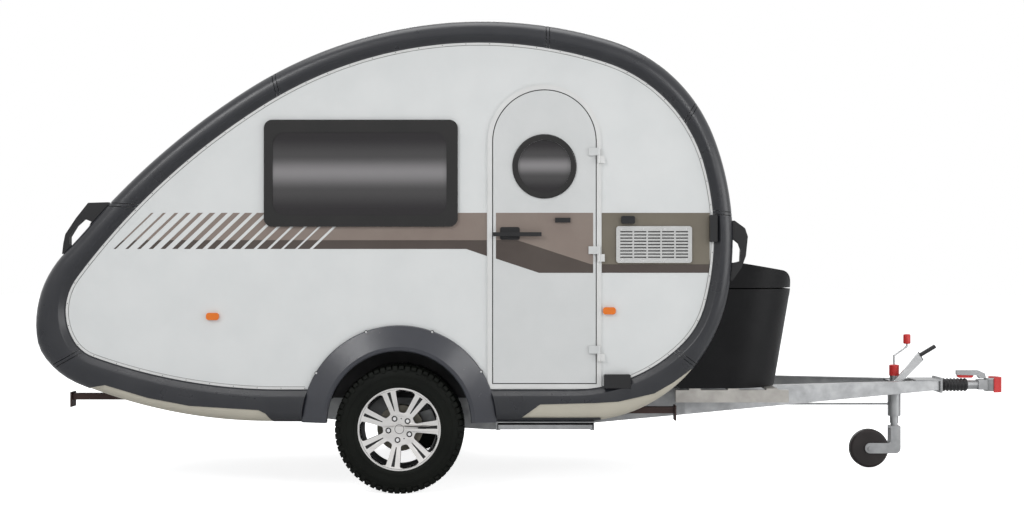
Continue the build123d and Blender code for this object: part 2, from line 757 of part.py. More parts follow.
beam_length = hypot(RAIL_OUT - NOSE_OUT, NOSE_X - BEAM_X)
beam_profile = [
    (0, BEAM_BOTTOM),
    (beam_length + RAIL_WIDE, NOSE_BOTTOM),
    (beam_length + RAIL_WIDE, BEAM_TOP),
    (0, BEAM_TOP),
]
with BuildPart() as drawbar_beams:
    with BuildSketch(beam_plane()):
        with BuildLine():
            Polyline(*beam_profile, close=True)
        make_face()
    extrude(amount=-RAIL_WIDE)
    with BuildSketch(beam_plane().offset(-STEEL)):
        with BuildLine():
            Polyline(
                (STEEL, BEAM_BOTTOM + STEEL),
                (beam_length + 2 * RAIL_WIDE, NOSE_BOTTOM + STEEL),
                (beam_length + 2 * RAIL_WIDE, BEAM_TOP - STEEL),
                (STEEL, BEAM_TOP - STEEL),
                close=True,
            )
        make_face()
    extrude(amount=-RAIL_WIDE, mode=Mode.SUBTRACT)
    upright_block((BEAM_X + NOSE_X) / 2, 0, (NOSE_X - BEAM_X, 3 * RAIL_OUT), 0, 1000, Mode.INTERSECT)
    mirror(about=Plane.XZ)
keep(drawbar_beams, "drawbar_beams")

rail_profile = [
    (RAIL_REAR_X, 440),
    (-1130, 324),
    (-300, 271),
    (-150, 271),
    (BEAM_X, BEAM_BOTTOM),
    (BEAM_X, BEAM_TOP),
    (RAIL_REAR_X, 600),
]
with BuildPart() as chassis_rails:
    side_shape(rail_profile, RAIL_OUT - RAIL_WIDE, RAIL_WIDE)
    wall_prism(SHELL_REACH, 0, HALF_WALL, Mode.SUBTRACT)
    upright_block(600, -RAIL_OUT, (2000, 400), BEAM_TOP, 900, Mode.SUBTRACT)
    with BuildSketch(side_plane(RAIL_OUT - RAIL_WIDE)):
        with BuildLine():
            Polyline(
                (RAIL_REAR_X + STEEL, 446),
                (-1130, 324 + STEEL),
                (-300, 271 + STEEL),
                (-150, 271 + STEEL),
                (BEAM_X - STEEL, BEAM_BOTTOM + STEEL),
                (BEAM_X - STEEL, BEAM_TOP - STEEL),
                (380, BEAM_TOP - STEEL),
                (110, WALL_Z - SHELL_REACH - STEEL),
                (-1337, WALL_Z - SHELL_REACH - STEEL),
                (RAIL_REAR_X + STEEL, 500),
                close=True,
            )
        make_face()
    extrude(amount=RAIL_WIDE - STEEL, mode=Mode.SUBTRACT)
    side_disc(AXLE_X, AXLE_Z, AXLE_R, RAIL_OUT - RAIL_WIDE, RAIL_WIDE, Mode.SUBTRACT)
    mirror(about=Plane.XZ)
    for member_x, low in CROSS_MEMBERS:
        upright_block(member_x, 0, (50, 2 * (RAIL_OUT - STEEL)), low, low + 40)
keep(chassis_rails, "chassis_rails")

with BuildPart() as axle_beam:
    side_disc(AXLE_X, AXLE_Z, AXLE_R, -ARM_IN, 2 * ARM_IN)
keep(axle_beam, "axle_beam")

with BuildPart() as trailing_arms:
    with BuildSketch(side_plane(ARM_IN)):
        with Locations((AXLE_X, AXLE_Z)):
            Circle(AXLE_R + 8)
        with Locations((WHEEL_X, WHEEL_Z)):
            Circle(42)
        make_hull()
    extrude(amount=ARM_THICK)
    side_disc(WHEEL_X, WHEEL_Z, 32, ARM_IN + ARM_THICK, HUB_FACE - DRUM_DEEP - 13 - ARM_IN - ARM_THICK)
    side_disc(WHEEL_X, WHEEL_Z, DRUM_R, HUB_FACE - DRUM_DEEP - 13, 6)
    side_disc(WHEEL_X, WHEEL_Z, STUB_R, HUB_FACE - DRUM_DEEP - 13, DRUM_DEEP)
    mirror(about=Plane.XZ)
keep(trailing_arms, "trailing_arms")

# Overrun housing between the beams, with the plates that carry it
with BuildPart() as overrun_housing:
    long_disc(COUPLING_Z, 34, 2060, BELLOWS_START)
    upright_block(2130, 0, (140, 56), COUPLING_Z, BEAM_TOP + 6)
    upright_block(2130, 0, (140, 190), BEAM_TOP, BEAM_TOP + 6)
    with BuildSketch(Plane.YZ.offset(NOSE_X)):
        with Locations((0, 467)):
            Rectangle(170, 84)
    extrude(amount=BELLOWS_START - NOSE_X)
    long_disc(COUPLING_Z, DRAW_TUBE_R, 2060, BELLOWS_START, Mode.SUBTRACT)
keep(overrun_housing, "overrun_housing")

with BuildPart() as coupling_bellows:
    pitch = (BELLOWS_END - BELLOWS_START) / 8
    with BuildSketch(Plane.XZ):
        with BuildLine():
            points = [(BELLOWS_START, DRAW_TUBE_R), (BELLOWS_START, BELLOWS_R - 6)]
            for fold in range(8):
                points.append((BELLOWS_START + (fold + 0.5) * pitch, BELLOWS_R))
                points.append((BELLOWS_START + (fold + 1) * pitch, BELLOWS_R - 6))
            points.append((BELLOWS_END, DRAW_TUBE_R))
            Polyline(*points, close=True)
        make_face()
    revolve(axis=Axis.X)
coupling_bellows.part.move(Location((0, 0, COUPLING_Z)))
keep(coupling_bellows, "coupling_bellows")

with BuildPart() as coupling_tube:
    long_disc(COUPLING_Z, DRAW_TUBE_R, 2060, BALL_X - 42)
keep(coupling_tube, "coupling_tube")

with BuildPart() as coupling_head:
    upright_disc(BALL_X, 0, 42, COUPLING_Z - 34, COUPLING_Z + 36)
    upright_block(BALL_X - 50, 0, (60, 60), COUPLING_Z - 26, COUPLING_Z + 30)
    fillet(coupling_head.faces().sort_by(Axis.Z)[-1].edges(), 5)
    upright_disc(BALL_X, 0, BALL_R, COUPLING_Z - 40, COUPLING_Z + 18, Mode.SUBTRACT)
    long_disc(COUPLING_Z, DRAW_TUBE_R, BALL_X - 90, BALL_X - 42, Mode.SUBTRACT)
keep(coupling_head, "coupling_head")

with BuildPart() as coupling_nose:
    with BuildSketch(Plane.XY.offset(COUPLING_Z - 40)):
        with Locations((BALL_X, 0)):
            Circle(55)
            Circle(42, mode=Mode.SUBTRACT)
        with Locations((BALL_X - 50, 0)):
            Rectangle(100, 120, mode=Mode.SUBTRACT)
    extrude(amount=84)
keep(coupling_nose, "coupling_nose")

with BuildPart() as coupling_handle:
    side_shape(
        [(2440, 500), (2476, 500), (2470, 528), (2434, 545), (2313, 545), (2313, 520), (2430, 517)],
        -17,
        34,
    )
keep(coupling_handle, "coupling_handle")

# Jockey wheel
with BuildPart() as jockey_clamp:
    upright_block(JOCKEY_X, 0, (56, 260), BEAM_TOP - STEEL - 8, BEAM_TOP - STEEL)
    upright_disc(JOCKEY_X, 0, 36, 290, BEAM_TOP - STEEL - 8)
    upright_disc(JOCKEY_X, 0, JOCKEY_TUBE_R, 250, 600, Mode.SUBTRACT)
keep(jockey_clamp, "jockey_clamp")

with BuildPart() as jockey_tube:
    upright_disc(JOCKEY_X, 0, JOCKEY_TUBE_R, JOCKEY_LOW, JOCKEY_TOP)
    upright_disc(
        JOCKEY_X, 0, JOCKEY_STEM_R + JOCKEY_CLEAR, JOCKEY_LOW - 1, JOCKEY_TOP - 50, Mode.SUBTRACT
    )
keep(jockey_tube, "jockey_tube")

with BuildPart() as jockey_crank:
    with BuildLine(Plane.XZ) as crank_path:
        FilletPolyline((1963, JOCKEY_TOP), (1963, 592), (2037, 688), radius=14)
    with BuildSketch(Plane.XY.offset(JOCKEY_TOP)):
        with Locations((JOCKEY_X, 0)):
            Circle(6)
    sweep(path=crank_path.line)
    with BuildSketch(Plane.XY.offset(680)):
        with Locations((2033, 0)):
            Circle(18)
    extrude(amount=60)
keep(jockey_crank, "jockey_crank")

fork_in = JOCKEY_WIDE / 2 + FORK_GAP
with BuildPart() as jockey_fork:
    upright_disc(JOCKEY_X, 0, JOCKEY_STEM_R, CROWN_Z - 5, JOCKEY_TOP - 90)
    upright_block(JOCKEY_X - 12, 0, (60, 2 * (fork_in + FORK_THICK)), CROWN_Z - 15, CROWN_Z)
    with BuildSketch(side_plane(fork_in)):
        with Locations((JOCKEY_AXLE_X, JOCKEY_R)):
            Circle(20)
        with Locations((JOCKEY_X - 10, CROWN_Z - 15)):
            Rectangle(50, 30)
        make_hull()
    extrude(amount=FORK_THICK)
    with BuildSketch(side_plane(-fork_in - FORK_THICK)):
        with Locations((JOCKEY_AXLE_X, JOCKEY_R)):
            Circle(20)
        with Locations((JOCKEY_X - 10, CROWN_Z - 15)):
            Rectangle(50, 30)
        make_hull()
    extrude(amount=FORK_THICK)
    side_disc(JOCKEY_AXLE_X, JOCKEY_R, 8, -fork_in - FORK_THICK - 4, 2 * (fork_in + FORK_THICK + 4))
keep(jockey_fork, "jockey_fork")

with BuildPart() as jockey_wheel:
    side_disc(JOCKEY_AXLE_X, JOCKEY_R, JOCKEY_R, -JOCKEY_WIDE / 2, JOCKEY_WIDE)
    fillet(jockey_wheel.edges().filter_by(GeomType.CIRCLE), 16)
    side_disc(JOCKEY_AXLE_X, JOCKEY_R, 8.5, -JOCKEY_WIDE, 2 * JOCKEY_WIDE, Mode.SUBTRACT)
keep(jockey_wheel, "jockey_wheel")

with BuildPart() as handbrake_lever:
    side_shape(
        [(1950, 488), (1990, 488), (2110, 632), (2080, 658)],
        50,
        12,
    )
    side_shape([(2110, 632), (2080, 658), (2150, 722), (2182, 696)], 46, 20)
keep(handbrake_lever, "handbrake_lever")

with BuildPart() as brake_rod:
    long_disc(357, 6, 665, JOCKEY_X - 36)
keep(brake_rod, "brake_rod")

# Corner steadies
for place, (pivot_x, pivot_z, reach_x) in STEADIES.items():
    way = 1 if reach_x > 0 else -1
    with BuildPart() as steady:
        side_block(
            pivot_x + reach_x / 2,
            pivot_z,
            (abs(reach_x), STEADY_DEEP),
            STEADY_Y - STEADY_WIDE / 2,
            STEADY_WIDE,
        )
        side_disc(pivot_x, pivot_z, STEADY_DEEP / 2, STEADY_Y - STEADY_WIDE / 2, STEADY_WIDE)
        side_block(
            pivot_x + reach_x + way * 4,
            pivot_z - STEADY_FOOT / 2 + STEADY_DEEP / 2,
            (8, STEADY_FOOT + STEADY_DEEP / 2),
            STEADY_Y - 40,
            80,
        )
        side_disc(pivot_x, pivot_z, 8.5, STEADY_Y - 60, 120, Mode.SUBTRACT)
    keep(steady, f"steady_{place}_right")
    with BuildPart() as steady_mirror:
        mirror(steady.part, about=Plane.XZ)
    keep(steady_mirror, f"steady_{place}_left")

with BuildPart() as steady_mounts:
    for place, (pivot_x, pivot_z, reach_x) in STEADIES.items():
        for cheek in (
            STEADY_Y - STEADY_WIDE / 2 - STEADY_GAP - STEADY_CHEEK,
            STEADY_Y + STEADY_WIDE / 2 + STEADY_GAP,
        ):
            side_block(pivot_x, pivot_z + 60, (70, 160), cheek, STEADY_CHEEK)
        side_disc(
            pivot_x,
            pivot_z,
            8,
            STEADY_Y - STEADY_WIDE / 2 - STEADY_GAP - STEADY_CHEEK,
            STEADY_WIDE + 2 * (STEADY_GAP + STEADY_CHEEK),
        )
    wall_prism(SHELL_REACH, 0, HALF_WALL, Mode.SUBTRACT)
    mirror(about=Plane.XZ)
keep(steady_mounts, "steady_mounts")

# Entrance step
with BuildPart() as step_housing:
    side_block(
        STEP_X,
        (STEP_TOP + STEP_BOTTOM) / 2,
        (STEP_WIDE + 2 * STEP_WALL, STEP_TOP - STEP_BOTTOM),
        STEP_IN,
        STEP_OUT - STEP_IN - 10,
    )
    side_block(
        STEP_X,
        (STEP_TOP + STEP_BOTTOM) / 2 - STEP_WALL,
        (STEP_WIDE, STEP_TOP - STEP_BOTTOM),
        STEP_IN,
        STEP_OUT - STEP_IN,
        mode=Mode.SUBTRACT,
    )
    for runner_x in (STEP_X - STEP_WIDE / 2 + 7, STEP_X + STEP_WIDE / 2 - 7):
        side_block(
            runner_x,
            STEP_TREAD_LOW - STEP_SEAT - STEP_WALL / 2,
            (14, STEP_WALL),
            STEP_IN,
            STEP_OUT - STEP_IN - 10,
        )
keep(step_housing, "step_housing")

with BuildPart() as step_tread:
    side_block(
        STEP_X,
        STEP_TREAD_LOW + STEP_TREAD_THICK / 2,
        (STEP_WIDE - 10, STEP_TREAD_THICK),
        STEP_IN + 10,
        STEP_OUT - STEP_IN - 10,
    )
keep(step_tread, "step_tread")

# Road wheels
tyre_in = TYRE_OUT - TYRE_WIDE
with BuildPart() as tyre_right:
    with BuildSketch(Plane.XY):
        with BuildLine():
            Polyline(
                (BEAD_R, tyre_in + 14),
                (RIM_R + 4, tyre_in + 6),
                (262, tyre_in),
                (300, tyre_in + 4),
                (TYRE_R - 4, tyre_in + 22),
                (TYRE_R, tyre_in + 40),
                (TYRE_R, TYRE_OUT - 40),
                (TYRE_R - 4, TYRE_OUT - 22),
                (300, TYRE_OUT - 4),
                (262, TYRE_OUT),
                (RIM_R + 4, TYRE_OUT - 6),
                (BEAD_R, TYRE_OUT - 14),
                close=True,
            )
        make_face()
    revolve(axis=Axis.Y)
tyre_right.part.move(Location((WHEEL_X, 0, WHEEL_Z)))

with BuildPart() as tyre_left_blank:
    add(tyre_right.part)
keep(tyre_left_blank, "tyre_left")
with BuildPart() as tyre_mirrored:
    mirror(tyre_left_blank.part, about=Plane.XZ)
keep(tyre_mirrored, "tyre_right")

rim_out = TYRE_OUT - 14
rim_in = tyre_in + 14
with BuildPart() as rim_right:
    side_disc(WHEEL_X, WHEEL_Z, BEAD_R, rim_in, rim_out - rim_in)
    side_disc(WHEEL_X, WHEEL_Z, BEAD_R - RIM_THICK, rim_in, rim_out - rim_in, Mode.SUBTRACT)
    for spoke in range(SPOKES):
        turn = 90 - SPOKE_FIRST - spoke * 360 / SPOKES
        with BuildSketch(side_plane(rim_out - 12 - SPOKE_THICK)):
            with Locations(Location((WHEEL_X, WHEEL_Z), turn)):
                Polygon(
                    (HUB_R - 20, -SPOKE_NARROW / 2),
                    (BEAD_R - 4, -SPOKE_WIDE / 2),
                    (BEAD_R - 4, -SPOKE_SLOT / 2),
                    (HUB_R - 3, 0),
                    (BEAD_R - 4, SPOKE_SLOT / 2),
                    (BEAD_R - 4, SPOKE_WIDE / 2),
                    (HUB_R - 20, SPOKE_NARROW / 2),
                    align=None,
                )
        extrude(amount=SPOKE_THICK)
    side_disc(WHEEL_X, WHEEL_Z, HUB_R, HUB_FACE, rim_out - 16 - HUB_FACE)
    side_disc(WHEEL_X, WHEEL_Z, 34, HUB_FACE, rim_out - HUB_FACE - 8)
keep(rim_right, "rim_right")
with BuildPart() as rim_left:
    mirror(rim_right.part, about=Plane.XZ)
keep(rim_left, "rim_left")

with BuildPart() as brake_drum_right:
    side_disc(WHEEL_X, WHEEL_Z, DRUM_R, HUB_FACE - DRUM_DEEP, DRUM_DEEP)
    side_disc(
        WHEEL_X,
        WHEEL_Z,
        STUB_R + STUB_CLEAR,
        HUB_FACE - DRUM_DEEP,
        DRUM_DEEP - 8,
        Mode.SUBTRACT,
    )
keep(brake_drum_right, "brake_drum_right")
with BuildPart() as brake_drum_left:
    mirror(brake_drum_right.part, about=Plane.XZ)
keep(brake_drum_left, "brake_drum_left")
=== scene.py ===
import math

import bmesh
import bpy
from mathutils import Matrix, Vector


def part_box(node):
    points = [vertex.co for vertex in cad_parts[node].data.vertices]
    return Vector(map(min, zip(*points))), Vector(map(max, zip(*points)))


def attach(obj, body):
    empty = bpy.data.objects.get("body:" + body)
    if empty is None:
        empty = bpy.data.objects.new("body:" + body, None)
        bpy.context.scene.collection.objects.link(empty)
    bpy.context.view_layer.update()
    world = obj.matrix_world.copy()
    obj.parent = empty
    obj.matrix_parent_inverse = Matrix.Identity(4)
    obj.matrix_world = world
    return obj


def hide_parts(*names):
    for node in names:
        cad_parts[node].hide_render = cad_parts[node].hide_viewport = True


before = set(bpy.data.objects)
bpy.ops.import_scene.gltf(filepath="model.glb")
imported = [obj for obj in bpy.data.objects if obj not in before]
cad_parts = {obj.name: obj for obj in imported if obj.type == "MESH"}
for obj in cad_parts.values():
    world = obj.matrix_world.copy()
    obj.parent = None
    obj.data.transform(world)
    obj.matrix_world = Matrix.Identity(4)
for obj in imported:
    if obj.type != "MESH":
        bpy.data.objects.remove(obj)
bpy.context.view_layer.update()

# Teardrop travel trailer, in metres. +X is the front, -Y the door side, +Z up.

# Camera: at the photograph's place, level, looking along +Y
EYE = (-0.1865, -8.37, 1.165)
LENS_MM = 52.3
IMAGE_WIDTH = 1024
HORIZON_BELOW_MIDDLE = 4

# Planes of the body, from the frame
WALL_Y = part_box("sidewall_right")[0].y
DOOR_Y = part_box("porthole_ring")[1].y
VENT_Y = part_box("fridge_vent")[0].y
HANDLE_PLATE_PROUD = 0.016
HANDLE_PLATE_Y = DOOR_Y - HANDLE_PLATE_PROUD
WHEEL_LOW, WHEEL_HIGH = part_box("tyre_right")
WHEEL_X = (WHEEL_LOW.x + WHEEL_HIGH.x) / 2
WHEEL_Z = (WHEEL_LOW.z + WHEEL_HIGH.z) / 2
TYRE_OUT = -WHEEL_LOW.y
TYRE_WIDE = WHEEL_HIGH.y - WHEEL_LOW.y
SIDES = {"right": -1, "left": 1}

# Sharpest edge that is shaded soft, in degrees; how far small fittings reach into what carries them
SOFT = 30
SUNK = 0.002

# Wall outline on both sides, clockwise as the door side is seen: radius, sweep in degrees
WALL_START_X = -1.337
WALL_BOTTOM_Z = 0.520
WALL_ARCS = [
    (2.772, 19.7), (0.188, 38.4), (0.282, 68.5), (3.435, 21.3), (2.025, 50.2), (0.747, 55.8),
    (1.306, 31.4), (0.430, 30.0),
]

# Bead that covers the wall's screws, inside that outline
BEAD_INSET = 0.0008
BEAD_WIDE = 0.012
BEAD_PROUD = 0.005
BEAD_LINE = 0.0025
BEAD_SCREW_PITCH = 0.095
BEAD_SCREW_R = 0.0022

# Wheel arch, and the door's frame, where the bead doesn't show
ARCH_X = -0.748
ARCH_Z = 0.355
ARCH_R = 0.487
DOOR_FRAME_X = (-0.3125, 0.2625)
DOOR_FRAME_LOW = 0.54

# Door: its middle, half its width, and the levels of its foot and of its head's centre; seal in the gap
DOOR_X = -0.025
DOOR_HALF = 0.2555
DOOR_LOW = 0.552
DOOR_HEAD = 1.7545
SEAL_IN = 0.0015
SEAL_OUT = 0.0049
SEAL_BACK = 0.010
SEAL_PROUD = 0.001
HEAD_STEPS = 32

# Catch that holds the door open, and the lock in its handle
CATCH_X = (0.028, 0.104)
CATCH_Z = (1.352, 1.375)
CATCH_PROUD = 0.012
LOCK_PLACE = (-0.1955, 1.2935)
LOCK_R = 0.009
LOCK_PROUD = 0.0015

# Foil stripes on the door side
FOIL_THICK = 0.0006
BAND_TOP = 1.400
BAND_SPLIT = 1.264
BAND_BOTTOM = 1.220
LOW_SPLIT = 1.144
LOW_BOTTOM = 1.101
BAND_REAR_X = -1.179
BAND_BEND_X = -0.415
BAND_FALL = 0.34
BAND_FRONT_X = 0.799
STRIP_REAR_X = -0.3115
STRIP_FRONT_X = 0.2605
DOOR_REAR_X = -0.2665
DOOR_FRONT_X = 0.2175
WEDGE_TOP_X = (-0.160, 0.207)
WEDGE_LOW_X = -0.052
WEDGE_LOW_Z = 1.172
BARS = 16
BAR_FIRST_X = -2.172
BAR_PITCH = 0.0583
BAR_PITCH_GROWS = 0.0015
BAR_EVEN = 8
BAR_THIN = 0.011
BAR_THICK = 0.060
BAR_LEAN = 1.045

# Tyres: radius and depth from the outer face, out to the middle of the tread
CARCASS = [
    (0.1900, 0.0210), (0.2075, 0.0210), (0.2075, 0.0085), (0.2140, 0.0042), (0.2250, 0.0030),
    (0.2258, 0.0014), (0.2298, 0.0012), (0.2306, 0.0026), (0.2470, 0.0016), (0.2622, 0.0012),
    (0.2630, 0.0000), (0.2675, 0.0004), (0.2684, 0.0018), (0.2800, 0.0036), (0.2900, 0.0066),
    (0.3030, 0.0125), (0.3090, 0.0200), (0.3150, 0.0350), (0.3150, 0.1025),
]
CARCASS_STEPS = 192
PITCHES = 62
SHOULDER_LUG = [
    (0.2840, 0.0090), (0.2900, 0.0038), (0.3040, 0.0040), (0.3155, 0.0095), (0.3210, 0.0200),
    (0.3215, 0.0280), (0.3215, 0.0600), (0.3100, 0.0600), (0.3080, 0.0240), (0.2980, 0.0140),
]
SHORT_LUG = [(0.2960, 0.0130), (0.2985, 0.0065)] + SHOULDER_LUG[2:]
LUG_FILL = 0.72
LUG_STEPS = 2
CENTRE_ROWS = [((0.0660, 0.0985), 0.5), ((0.1065, 0.1390), 0.0)]
CENTRE_R = (0.310, 0.3217)
CENTRE_FILL = 0.74
CENTRE_SKEW = 1.1

# Hub: its face, back and cap, as reach from the middle of the trailer; then bolts, black discs of painted
# shade for holes, and line
HUB_FACE = 0.950
HUB_BACK = 0.905
HUB_SIDES = 48
CAP_FACE = 0.955
CAP_R = 0.031
BOLT_WELL_R = 0.0150
BOLT_WELL_DEEP = 0.012
BOLT_CIRCLE_R = 0.056
BOLTS = 5
BOLT_FIRST = -26
BOLT_R = 0.0098
BOLT_DOME_R = 0.0082
BOLT_HEAD = 0.008
BOLT_DOME = (0.007, 0.011)
HOLE_SHADE_CIRCLE_R = 0.053
HOLE_SHADE_R = 0.0032
CAP_LINE_R = (0.0215, 0.0240)

# Rim: section of its barrel, as radius and depth; then the dished face with its spokes,
# and one window and one pocket pointing up
RIM_STEPS = 96
RIM_SECTION = [
    (0.181, 0.070), (0.186, 0.045), (0.196, 0.022), (0.199, 0.014), (0.207, 0.014), (0.207, 0.021),
    (0.190, 0.021),
]
FACE_OUT = 0.968
FACE_THICK = 0.034
DISH = 0.018
DISH_R = (0.076, 0.200)
SPOKES = 7
SPOKE_FIRST = -16
WINDOW_HUB = (0.0157, 0.082)
WINDOW_HUB_ROUND = 0.0140
WINDOW_RIM_R = 0.1970
WINDOW_RIM_HALF = 0.0520
WINDOW_RIM_ROUND = 0.009
WINDOW_STEPS = 10
CORNER_STEPS = 5
POCKET = [(-0.0025, 0.092), (0.0025, 0.092), (0.0090, 0.190), (-0.0090, 0.190)]
POCKET_DEEP = 0.008

# Trim outline, as the wall's; a negative sweep bends outwards; points are this far apart
TRIM_SPACING = 0.010
TRIM_START_X = -1.391
SILL_Z = 0.357
TRIM_ARCS = [
    (2.550, 22.1), (0.395, 32.6), (0.206, 26.8), (0.511, 52.3), (3.588, -2.9), (3.604, 16.7),
    (2.191, 49.4), (0.803, 52.2), (1.462, 30.9), (0.834, 27.9),
]

# Trim section, from the wall outwards: lip, flank, crest, then a roll down to the outer edge
LIP_WIDE = 0.007
LIP_PROUD = 0.006
CREST_PROUD = 0.032
CREST_ROUND = 0.004
TRIM_ROLL = 0.062
ROLL_STEPS = 9
TRIM_WRAP = 0.095
TRIM_SUNK = 0.0005
TRIM_SOFT = 28
SHELL_OUT = 0.060
SHELL_EDGE = 0.004

# Solids that cut the trim: how far they reach out of the wall and into it
CUT_OUT = 0.100
CUT_IN = 0.200
ARCH_CUT_R = 0.485
ARCH_CUT_FOOT = 0.100
ARCH_CUT_STEPS = 64

# Seams across the trim: start x, start z, end x, end z
TRIM_SEAMS = [
    (-1.378, 2.099, -1.349, 1.984),
    (-0.008, 2.347, -0.008, 2.233),
    (0.747, 1.960, 0.697, 1.884),
    (0.911, 1.393, 0.772, 1.408),
    (0.730, 0.639, 0.651, 0.696),
    (-2.454, 0.642, -2.384, 0.681),
    (-2.213, 1.443, -2.049, 1.433),
]
SEAM_WIDE = 0.003
SEAM_STRIP = 0.014
SEAM_PAST = 0.060
SEAM_IN = 0.045

# Beige inserts in the sill, corners of their outline
REAR_INSERT = [
    (-2.330, 0.480), (-2.292, 0.529), (-2.208, 0.544), (-1.994, 0.480), (-1.789, 0.441),
    (-1.446, 0.420), (-1.411, 0.402), (-1.363, 0.340), (-2.200, 0.340),
]
FRONT_INSERT = [
    (-0.140, 0.380), (-0.047, 0.448), (0.228, 0.455), (0.343, 0.462), (0.520, 0.502),
    (0.612, 0.554), (0.708, 0.621), (0.760, 0.576), (0.760, 0.340), (0.262, 0.340), (0.254, 0.380),
]
INSERT_INSET = 0.004

# Fittings on the door side's wall, over which the trim is cut: x, z, width, height
FITTING_CUTS = [(0.337, 0.562, 0.134, 0.070), (0.815, 1.322, 0.039, 0.136)]

# Refrigerator vent: slots in rows and columns
VENT_X = 0.521
VENT_Z = 1.242
VENT_SIZE = (0.377, 0.183)
VENT_ROUND = 0.014
VENT_COLUMNS = 5
VENT_ROWS = 9
VENT_PITCH = 0.0159
VENT_GRILLE_WIDE = 0.338
VENT_DIVIDER = 0.008
VENT_SLOT = 0.007
VENT_FACE = 0.008

# Jockey wheel: places and outlines from the side, and turned parts as radius and height
JOCKEY_X = 1.963
JOCKEY_AXLE = (1.819, 0.108)
AXLE_R = 0.008
AXLE_PAST = 0.004
NUT_R = 0.013
NUT_PAST = 0.008
CROWN_Z = 0.235
CROWN_THICK = 0.015
FORK = [(1.791, 0.082), (1.990, 0.082), (1.990, 0.235), (1.936, 0.235), (1.936, 0.140), (1.791, 0.140)]
FORK_ROUND = (0.028, 0.028, 0.002, 0.002, 0.012, 0.028)
FORK_REACH = (0.035, 0.040)
STEM = [(0.020, 0.230), (0.020, 0.480)]
CRANK = [(1.963, 0.566), (1.963, 0.628), (2.035, 0.680), (2.035, 0.700)]
CRANK_R = 0.006
CAP_RING = [
    (0.0243, 0.516), (0.0275, 0.516), (0.0275, 0.573), (0.0245, 0.576),
    (0.0060, 0.576), (0.0060, 0.572), (0.0243, 0.572),
]
KNOB = [(0.016, 0.694), (0.020, 0.698), (0.020, 0.742), (0.018, 0.746), (0.014, 0.748)]

# Brake lever with its grip, and the grip under the coupling's handle
LEVER = [(1.948, 0.488), (1.994, 0.488), (2.112, 0.607), (2.085, 0.652)]
LEVER_REACH = (0.050, 0.062)
GRIP_START = (2.092, 0.632)
GRIP_STOPS = (0.0, 0.003, 0.096, 0.100)
GRIP_SLOPE = math.radians(31)
GRIP_R = 0.0115
COUPLING_GRIP = [
    (2.317, 0.508), (2.328, 0.503), (2.396, 0.503), (2.406, 0.510), (2.406, 0.522), (2.317, 0.522),
]
COUPLING_GRIP_HALF = 0.012

# Where two finishes on one piece part: facing and reach of the rim's machined face, the depth past which
# the vent's slots take painted shade, the rear lamps, the heights between which the crank is bare, and the
# lever's grip, along its slope
RIM_FACING = 0.6
RIM_REACH = 0.9455
VENT_SHADE_Y = -0.9600
REAR_LAMP_X = -2.2
CRANK_BARE_Z = (0.577, 0.693)
GRIP_ALONG = 2.1185

# Screws and their seats on the flares, by turn from upwards in degrees, and in the vent: x, z
FLARE_SCREW_TURNS = (-59, -20, 20, 58)
FLARE_SCREW_R = 0.481
SEAT_R = 0.0085
SEAT_PROUD = 0.0165
SCREW_R = 0.005
SCREW_PROUD = 0.0180
VENT_SCREWS = [(x, z) for x in (0.359, 0.466, 0.573, 0.681) for z in (1.164, 1.319)]
VENT_SCREW_R = 0.0035
VENT_SCREW_PROUD = 0.0008
VENT_SCREW_SUNK = 0.001

# Noise in the finishes: detail, the span that is read, and scales of the drift and the gloss
DRIFT_DETAIL = 5.0
DRIFT_SPAN = (0.35, 0.65)
GLOSS_DETAIL = 6.0
GLOSS_SPAN = (0.3, 0.7)
GRAIN_DETAIL = 3.0
MOULDED_SCALES = (6.0, 9.0)
METAL_SCALES = (14.0, 30.0)
METAL_GRAIN = 0.6
TWO_TONE_SCALE = 9.0
TWO_TONE_GRAIN = (300, 0.0002)
PLASTIC_SHINE = 0.35

# Panes: middle and half height; a painted reflection of the studio, grey across them, darkest at the ends
PANES = {"window_pane": (1.593, 0.2065), "porthole_pane": (1.631, 0.1315)}
PANE_ENDS = (0.06, 0.94)
PANE_DARK = (0.010, 0.008, 0.010, 1)
PANE_REFLECTION_GREYS = ((0.30, 0.050), (0.52, 0.220), (0.72, 0.050))
PANE_REFLECTION_TINT = (1, 0.96, 0.98)

# Stage
FLOOR_HALF = 40
FLOOR_GLOW = 0.85
WORLD_LIGHT = 0.50


# Materials
def set_inputs(node, **values):
    """Sets a node's unlinked inputs; an underscore stands for a space in a name."""
    for name, value in values.items():
        node.inputs[name.replace("_", " ")].default_value = value


def start_material(name):
    """An empty node material with its shader."""
    made = bpy.data.materials.new(name)
    made.use_nodes = True
    return made, made.node_tree, made.node_tree.nodes["Principled BSDF"]


def place_node(tree, kind, **settings):
    """A node, with its settings and its unlinked inputs' values."""
    node = tree.nodes.new(kind)
    for name, value in settings.items():
        if hasattr(node, name):
            setattr(node, name, value)
        else:
            set_inputs(node, **{name: value})
    return node


def object_noise(tree, scale, detail):
    """Noise that stays with the piece when it moves."""
    place = place_node(tree, "ShaderNodeTexCoord")
    noise = place_node(tree, "ShaderNodeTexNoise", Scale=scale, Detail=detail)
    tree.links.new(place.outputs["Object"], noise.inputs["Vector"])
    return noise.outputs["Fac"]


def colour_drift(tree, noise, first, second):
    """Slow drift between two near colours."""
    ramp = place_node(tree, "ShaderNodeValToRGB")
    for stop, position, colour in zip(ramp.color_ramp.elements, DRIFT_SPAN, (first, second)):
        stop.position = position
        stop.color = (*colour, 1)
    tree.links.new(noise, ramp.inputs["Fac"])
    return ramp.outputs["Color"]


def spread_value(tree, value, socket, **span):
    """Feeds a number to a socket, spread over a span."""
    spread = place_node(tree, "ShaderNodeMapRange", **span)
    tree.links.new(value, spread.inputs["Value"])
    tree.links.new(spread.outputs["Result"], socket)


